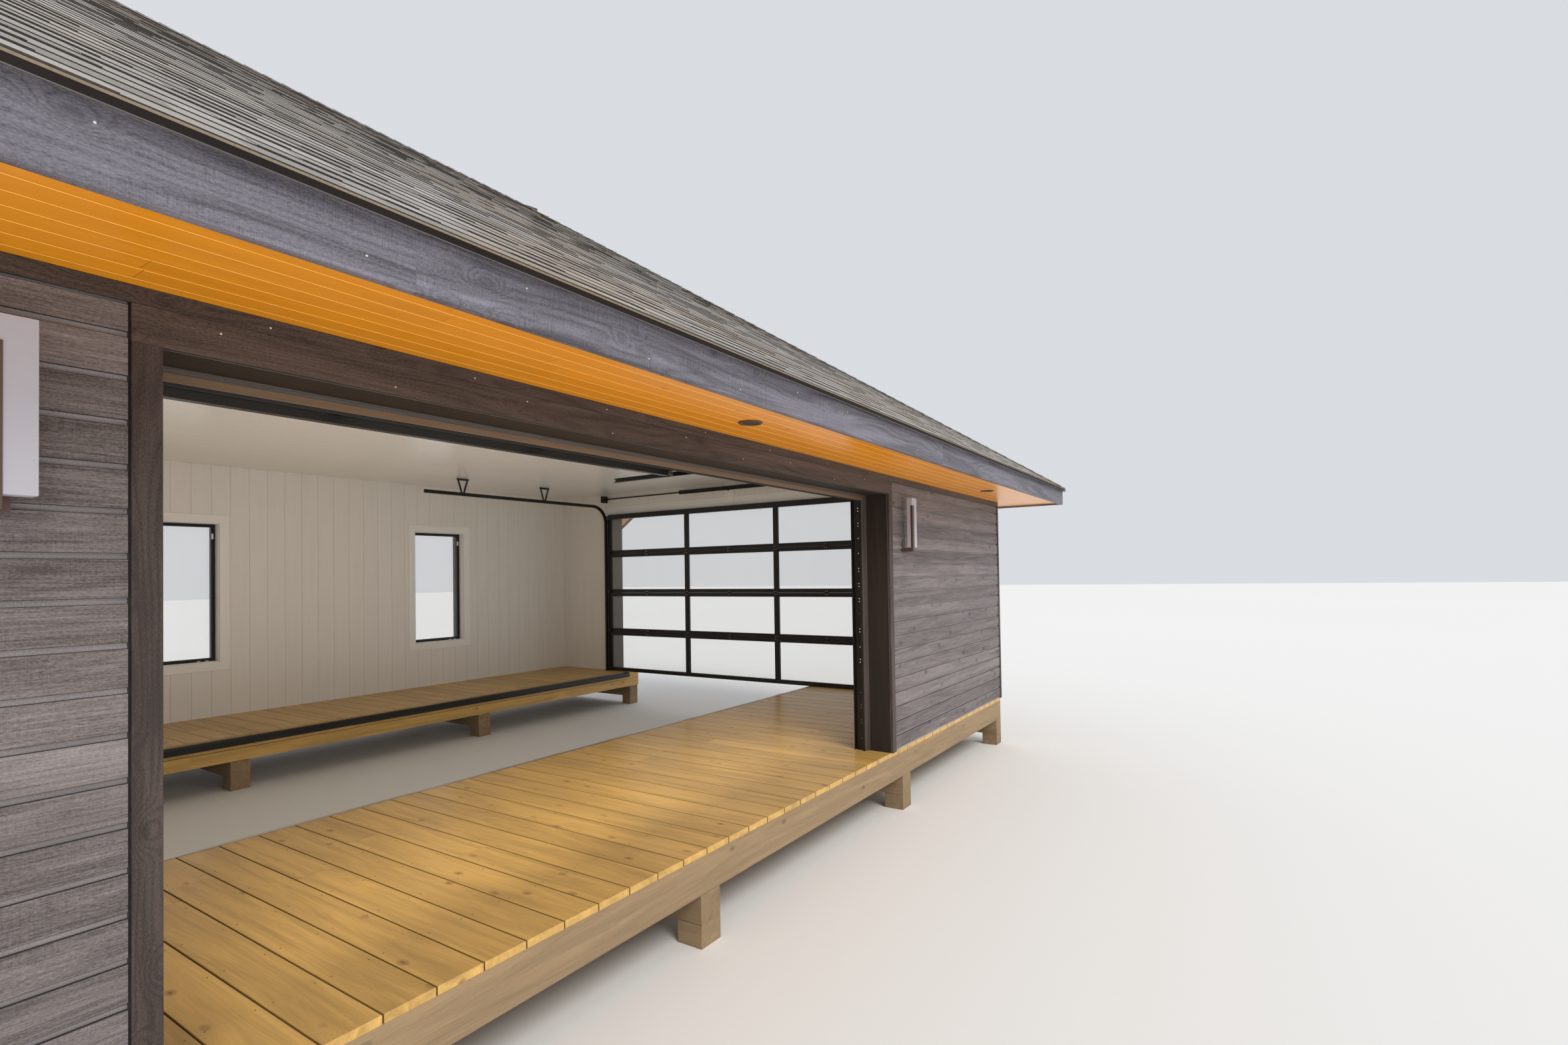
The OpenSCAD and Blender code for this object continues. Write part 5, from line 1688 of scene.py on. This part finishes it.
def doors(hardware, seed):
    """Both overhead doors and their seals."""
    door("boat_door", Y, -X, hardware, seed)
    metal = door("patio_door", X, -Z, hardware, seed + 20).data
    metal.materials.append(finish("zinc"))
    last = high("patio_door_hinges").y - 0.15
    for face in metal.polygons:
        if face.center.y > last:
            face.material_index = 1
    (_, y0, z0), (x1, y1, z1) = low("boat_door_sections"), high("boat_door_sections")
    face = x1 - DOOR_T
    seals = [box(face, face + 0.012, y0, y1, z1 + 0.0005, z1 + 0.011),
             box(face + 0.006, x1 - 0.006, y0, y1, z0 - 0.0018, z0 - HAIR)]
    seat(planks("boat_door_seals", seals, "rubber", 0.0006, seed, 1), "black_rubber")


class BOATHOUSE_OT_doors(bpy.types.Operator):
    """Dress both overhead doors"""

    bl_idname = "boathouse.doors"
    bl_label = "Doors"

    def execute(self, context):
        """Makes the pieces."""
        return build(context, doors, "hardware", seed=900)


FLAG_H = 0.090


def tracks(hardware):
    """Dressed tracks with a punched angle beside each upright track."""
    angle = 0.048
    quarter = Matrix.Rotation(math.pi / 2, 4, "Z")
    strips = []
    for node, leaf, turn in (("boat_tracks", high("boat_door_sections").y, quarter),
                             ("patio_tracks", high("patio_door_sections").x, quarter @ quarter)):
        seat(dress(node, "track", 0.0007, 1), "black_metal", node)
        side = leaf + 0.012 + 0.0035
        uprights = [b for b in solids(node) if b[1].z - b[0].z > 1.5 and b[0].z < DECK + 0.05]
        rise = max(b[1].z for b in uprights) - DECK - 2 * FLAG_H
        for s in (-1, 1):
            strip = grow("strip", strip_tree, [(0, 0, 0)], {}, {
                "Length": rise - 0.01, "Width": angle, "Thickness": 0.0025, "Pitch": hardware.hole_pitch,
                "Hole": hardware.hole, "Pair": hardware.hole_pair}, "track")
            face_outwards(moved(strip, Matrix.Rotation(-math.pi / 2, 4, "Y")))
            place = (INNER_X - angle / 2 - 0.001, s * side, DECK + 0.004)
            if node == "patio_tracks":
                place = (s * side, -INNER_Y + angle / 2 + 0.001, DECK + 0.004)
            strips.append(moved(moved(strip, turn), Matrix.Translation(place)))
    seat(join("punched_angles", strips), "black_metal")


class BOATHOUSE_OT_tracks(bpy.types.Operator):
    """Dress the door tracks"""

    bl_idname = "boathouse.tracks"
    bl_label = "Tracks"

    def execute(self, context):
        """Makes the pieces."""
        return build(context, tracks, "hardware")


def turned(name, outline, look, segments=32):
    """A solid of revolution about Z; the outline runs from (radius, height) to (radius, height)."""
    soup = bmesh.new()
    rings = []
    for radius, height in outline:
        turns = [2 * math.pi * i / segments for i in range(segments)] if radius > 1e-6 else [0.0]
        rings.append([soup.verts.new((radius * math.cos(a), radius * math.sin(a), height)) for a in turns])
    for lower, upper in zip(rings, rings[1:]):
        for i in range(segments):
            j = (i + 1) % segments
            corners = [ring[k % len(ring)] for ring, k in ((lower, i), (lower, j), (upper, j), (upper, i))]
            unique = list(dict.fromkeys(corners))
            if len(unique) > 2:
                soup.faces.new(unique)
    bmesh.ops.recalc_face_normals(soup, faces=soup.faces)
    return skin(name, soup, finish(look))


def spring_set(name, node, along, inside, hardware, seed):
    """Shaft, wound springs, cones, cable drums and bearing plates of one door."""
    lowest, highest = low(node), high(node)
    end = abs((highest - lowest).dot(along)) / 2
    half = end - 0.060
    wall = max((c.dot(-inside) for c in (lowest, highest)))
    z = highest.z - 0.060
    place = Matrix((along, -inside, Z)).transposed().to_4x4()
    place.translation = -inside * (wall - 0.110) + Z * z
    lay_down = Matrix.Rotation(math.pi / 2, 4, "Y")
    parts = []

    def put(piece, at, flip=False):
        turn = Matrix.Rotation(math.pi, 4, "Z") if flip else Matrix.Identity(4)
        parts.append(moved(piece, place @ turn @ Matrix.Translation((at, 0, 0)) @ lay_down))

    shaft, radius, drum_r = 0.013, 0.034, 0.060
    rounding = 0.002
    spring_len = 0.960
    profile = [(0, -end), (shaft - rounding, -end), (shaft, rounding - end), (shaft, end - rounding),
               (shaft - rounding, end), (0, end)]
    put(turned("shaft", profile, "black", 20), 0.0)
    for flip in (False, True):
        coil = grow("coil", coil_tree, [(0, 0, 0)], {}, {"Radius": radius, "Wire": hardware.wire,
                                                         "Length": spring_len - 0.02}, "black")
        face_outwards(coil)
        put(coil, 0.022, flip)
        for at, way in ((0.012, 1), (0.972, -1)):
            cone = [(shaft, 0), (radius - 0.002, 0), (radius + 0.001, 0.010), (radius + 0.001, 0.022),
                    (radius - 0.006, 0.030), (radius - 0.008, 0.060), (shaft, 0.060)]
            put(turned("cone", [(r, h * way) for r, h in cone], "black", 24), at, flip)
        grooves = [(shaft, 0), (drum_r, 0), (drum_r, 0.004)]
        for i in range(6):
            grooves += [(drum_r - 0.004, 0.005 + i * 0.0058), (drum_r - 0.001, 0.0085 + i * 0.0058)]
        grooves += [(drum_r, 0.041), (drum_r, 0.044), (0.030, 0.044), (0.026, 0.058), (shaft, 0.058)]
        put(turned("drum", grooves, "black", 36), half - 0.060, flip)
    plates = mirrored(0, half, half + 0.005, -0.060, 0.110, -0.060, 0.060)
    plates.append(box(-0.004, 0.004, -0.034, 0.110, -0.034, 0.034))
    plates += mirrored(0, half, half + 0.045, 0.1055, 0.110, -0.060, 0.060)
    plates.append(box(-0.040, 0.040, 0.1055, 0.110, -0.040, 0.040))
    parts.append(moved(planks("plates", plates, "black", 0.0015, seed, 1), place))
    for at in (-half - 0.015, half + 0.005):
        put(turned("bearing", [(shaft, 0), (0.024, 0), (0.024, 0.008), (shaft, 0.010)], "zinc", 20), at)
    ends = [v.co.copy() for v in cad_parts[node].data.vertices if v.co.z < lowest.z + 0.010]
    for s in (-1, 1):
        mine = [c for c in ends if c.dot(along) * s > 0]
        foot = sum(mine, Vector()) / len(mine)
        run = along * foot.dot(along) - inside * (wall - 0.052) + Z * z - foot
        cable = turned("cable", [(0, 0), (0.0018, 0), (0.0018, run.length), (0, run.length)], "zinc", 8)
        parts.append(moved(cable, Matrix.Translation(foot) @ Z.rotation_difference(run).to_matrix().to_4x4()))
    seat(join(name, parts), "black_metal", node)


def springs(hardware, seed):
    """The two spring sets over the doors."""
    spring_set("boat_spring_set", "boat_torsion_shaft", Y, -X, hardware, seed)
    spring_set("patio_spring_set", "patio_torsion_shaft", -X, Y, hardware, seed + 5)


class BOATHOUSE_OT_springs(bpy.types.Operator):
    """Make the spring sets"""

    bl_idname = "boathouse.springs"
    bl_label = "Springs"

    def execute(self, context):
        """Makes the pieces."""
        return build(context, springs, "hardware", seed=970)


LAMP_BAR = (0.040, 0.020)
LAMP_FOOT = 0.039
LAMP_PLATE = (0.076, 0.022, 0.110)
LAMP_GAP = 0.0003


def wall_lights():
    """The bronze bar, arm and wall plate of each wall light, and the white body cut out round the bar."""
    wide, deep = LAMP_BAR
    bodies, whites = [], []
    nodes = ("sconce_lights", "sconce_bodies")
    lamps, metals = (sorted(solids(node), key=lambda limits: limits[0].x) for node in nodes)
    for (lowest, highest), (metal, _) in zip(lamps, metals):
        bar_top = metal.z + (highest.z - metal.z) * 0.86
        foot = metal.z + LAMP_FOOT
        xs = (lowest.x, lowest.x + wide, lowest.x + LAMP_PLATE[0])
        ys = (metal.y, lowest.y + deep, -HALF_WID - LAMP_PLATE[1], -HALF_WID)
        zs = (metal.z, foot, metal.z + LAMP_PLATE[2], bar_top)
        cells = {(0, 0, 0), (0, 0, 1), (0, 0, 2), (0, 1, 0)} | {(i, 2, k) for i in (0, 1) for k in (0, 1)}
        bodies.append(rounded(blocky(xs, ys, zs, cells), "lamp_metal", "bronze", 0.0010))
        xs = (lowest.x, lowest.x + wide + LAMP_GAP, highest.x)
        ys = (lowest.y, lowest.y + deep + LAMP_GAP, highest.y - 0.010)
        zs = (foot + LAMP_GAP, bar_top + LAMP_GAP, highest.z)
        cells = {(i, j, k) for i in (0, 1) for j in (0, 1) for k in (0, 1)} - {(0, 0, 0)}
        whites.append(rounded(blocky(xs, ys, zs, cells), "lamp_white", "diffuser", 0.0012))
    seat(join("sconce_bars", bodies), "bronze_metal", "sconce_bodies")
    seat(join("sconce_whites", whites), "white_diffuser", "sconce_lights")


def lights():
    """Wall lights and soffit lights."""
    wall_lights()
    cans = []
    for lowest, highest in solids("soffit_lights"):
        radius = (highest.x - lowest.x) / 2
        rim = [(0.70, 0.007), (0.72, -0.001), (0.94, -0.004), (1, -0.001), (1, 0.0035), (0.70, 0.007)]
        core = [(0, 0.004), (0.55, 0.0035), (0.71, 0.001), (0.71, 0.007), (0, 0.007)]
        for name, outline, look in (("rim", rim, "bronze"), ("core", core, "dark")):
            can = turned(name, [(radius * part, height) for part, height in outline], look, 40)
            cans.append(moved(can, Matrix.Translation((lowest + highest) / 2)))
    seat(join("soffit_light_trims", cans), "white_diffuser", "soffit_lights")


class BOATHOUSE_OT_lights(bpy.types.Operator):
    """Dress wall lights and soffit lights"""

    bl_idname = "boathouse.lights"
    bl_label = "Lights"

    def execute(self, context):
        """Makes the pieces."""
        return build(context, lights)


def outlets(seed):
    """Wall outlets with their inserts and dark slot marks painted as shade."""
    parts = [dress("outlets", "plastic", 0.002)]
    for lowest, highest in solids("outlets"):
        x, _, z = (lowest + highest) / 2
        y = lowest.y
        for dz in (-0.021, 0.021):
            insert = [box(x - 0.0165, x + 0.0165, y - 0.0012, y, z + dz - 0.014, z + dz + 0.014)]
            parts.append(planks("insert", insert, "plastic", 0.0008, seed, 1))
            # Dark marks for the outlet slots: painted shade in the openings.
            pins = [box(x + s * 0.0065 - 0.001, x + s * 0.0065 + 0.001, y - 0.0015, y - 0.0008,
                        z + dz - 0.004, z + dz + 0.005) for s in (-1, 1)]
            parts.append(planks("pins", pins, "dark", 0.0003, seed, 1))
    seat(join("outlet_plates", parts), "white_plastic", "outlets")


class BOATHOUSE_OT_outlets(bpy.types.Operator):
    """Dress the wall outlets"""

    bl_idname = "boathouse.outlets"
    bl_label = "Outlets"

    def execute(self, context):
        """Makes the pieces."""
        return build(context, outlets, seed=990)


def panel_light(name, power, tint, size, place, tip):
    """A soft level panel of light that shines along -Z, tipped up towards +Y."""
    panel = bpy.data.lights.new(name, "AREA")
    panel.shape = "RECTANGLE"
    panel.size, panel.size_y = size
    panel.energy = power
    panel.color = tint
    light = add(name, panel)
    light.location = place
    light.rotation_euler = (tip, 0, 0)
    light.visible_camera = False
    light.visible_glossy = False


def stage(settings):
    """Pale floor, soft light and the camera."""
    scene = bpy.context.scene
    floor = Finish("stage_floor", 0.9)
    tone = floor.noise(floor.places(), 0.05, 2.0)
    floor.put("Base Color", floor.mix(tone, rgba(settings.floor), rgba(shade(settings.floor, 1.02))))
    soup = bmesh.new()
    bmesh.ops.create_grid(soup, x_segments=1, y_segments=1, size=120.0)
    ground = skin("stage_floor", soup, floor.material)

    world = bpy.data.worlds.new("soft_sky")
    world.use_nodes = True
    scene.world = world
    back = world.node_tree.nodes["Background"]
    back.inputs["Color"].default_value = (0.93, 0.96, 1.0, 1.0)
    back.inputs["Strength"].default_value = settings.sky

    sun = bpy.data.lights.new("soft_sun", "SUN")
    sun.energy = settings.sun
    sun.angle = math.radians(25)
    sun.color = (1.0, 0.96, 0.90)
    add("soft_sun", sun).rotation_euler = (math.radians(48), 0, math.radians(-28))

    panel_light("room_fill", settings.room, (1.0, 0.87, 0.75), (8.0, 4.0), (0.0, 0.5, DECK + 0.25), math.pi)
    panel_light("apron_bounce", settings.apron, (1.0, 0.93, 0.82), (14.0, 3.0), (0.0, -6.6, 0.15), math.pi)
    panel_light("opening_light", settings.opening, (1.0, 0.93, 0.84), (5.2, 2.2), (0.3, -3.7, DECK + 1.6),
                math.radians(88))

    heading, tilt, roll = settings.heading, settings.tilt, settings.roll
    forward = Vector((math.cos(tilt) * math.cos(heading), math.cos(tilt) * math.sin(heading), math.sin(tilt)))
    right = Vector((math.sin(heading), -math.cos(heading), 0))
    up = right.cross(forward)
    turned_right = right * math.cos(roll) + up * math.sin(roll)
    turned_up = up * math.cos(roll) - right * math.sin(roll)
    lens = bpy.data.cameras.new("photo_view")
    lens.lens = settings.lens
    lens.sensor_width = 36.0
    lens.shift_x = 0.00455
    lens.shift_y = 0.02498
    lens.clip_end = 500
    pose = Matrix((turned_right, turned_up, -forward)).transposed().to_4x4()
    pose.translation = (settings.camera_x, settings.camera_y, settings.camera_z)
    scene.camera = add("photo_view", lens)
    scene.camera.matrix_world = pose
    scene.view_settings.view_transform = "Standard"


class BOATHOUSE_OT_stage(bpy.types.Operator):
    """Set up the floor, the light and the camera"""

    bl_idname = "boathouse.stage"
    bl_label = "Stage"

    def execute(self, context):
        """Makes the pieces."""
        return build(context, stage, "stage")


OPERATORS = (
    BOATHOUSE_OT_siding,
    BOATHOUSE_OT_trim,
    BOATHOUSE_OT_fascia,
    BOATHOUSE_OT_soffit,
    BOATHOUSE_OT_shingles,
    BOATHOUSE_OT_roof_edges,
    BOATHOUSE_OT_deck,
    BOATHOUSE_OT_slip,
    BOATHOUSE_OT_timbers,
    BOATHOUSE_OT_lining,
    BOATHOUSE_OT_ceiling,
    BOATHOUSE_OT_jambs,
    BOATHOUSE_OT_windows,
    BOATHOUSE_OT_doors,
    BOATHOUSE_OT_tracks,
    BOATHOUSE_OT_springs,
    BOATHOUSE_OT_lights,
    BOATHOUSE_OT_outlets,
    BOATHOUSE_OT_stage,
)


class BOATHOUSE_PT_pieces(bpy.types.Panel):
    """Sizes, colours and pieces of the boathouse"""

    bl_label = "Boathouse"
    bl_idname = "BOATHOUSE_PT_pieces"
    bl_space_type = "VIEW_3D"
    bl_region_type = "UI"
    bl_category = "Boathouse"

    def draw(self, context):
        """Lists the settings and the operators."""
        for group in SETTINGS:
            area = self.layout.box()
            settings = getattr(context.scene, group)
            for name in settings.bl_rna.properties.keys():
                if name not in {"rna_type", "name"}:
                    area.prop(settings, name)
        for operator in OPERATORS:
            self.layout.operator(operator.bl_idname)


SETTINGS = {
    "boathouse_boards": BoathouseBoards,
    "boathouse_hardware": BoathouseHardware,
    "boathouse_colours": BoathouseColours,
    "boathouse_stage": BoathouseStage,
}


def register():
    """Adds the settings, operators and panel to Blender."""
    for kind in (*SETTINGS.values(), *OPERATORS, BOATHOUSE_PT_pieces):
        bpy.utils.register_class(kind)
    for name, kind in SETTINGS.items():
        setattr(bpy.types.Scene, name, PointerProperty(type=kind))


def unregister():
    """Takes them out again."""
    for name in SETTINGS:
        delattr(bpy.types.Scene, name)
    for kind in (BOATHOUSE_PT_pieces, *reversed(OPERATORS), *SETTINGS.values()):
        bpy.utils.unregister_class(kind)


def main():
    """Builds every piece and the stage."""
    register()
    for operator in OPERATORS:
        category, name = operator.bl_idname.split(".")
        getattr(getattr(bpy.ops, category), name)()


if __name__ == "__main__":
    main()
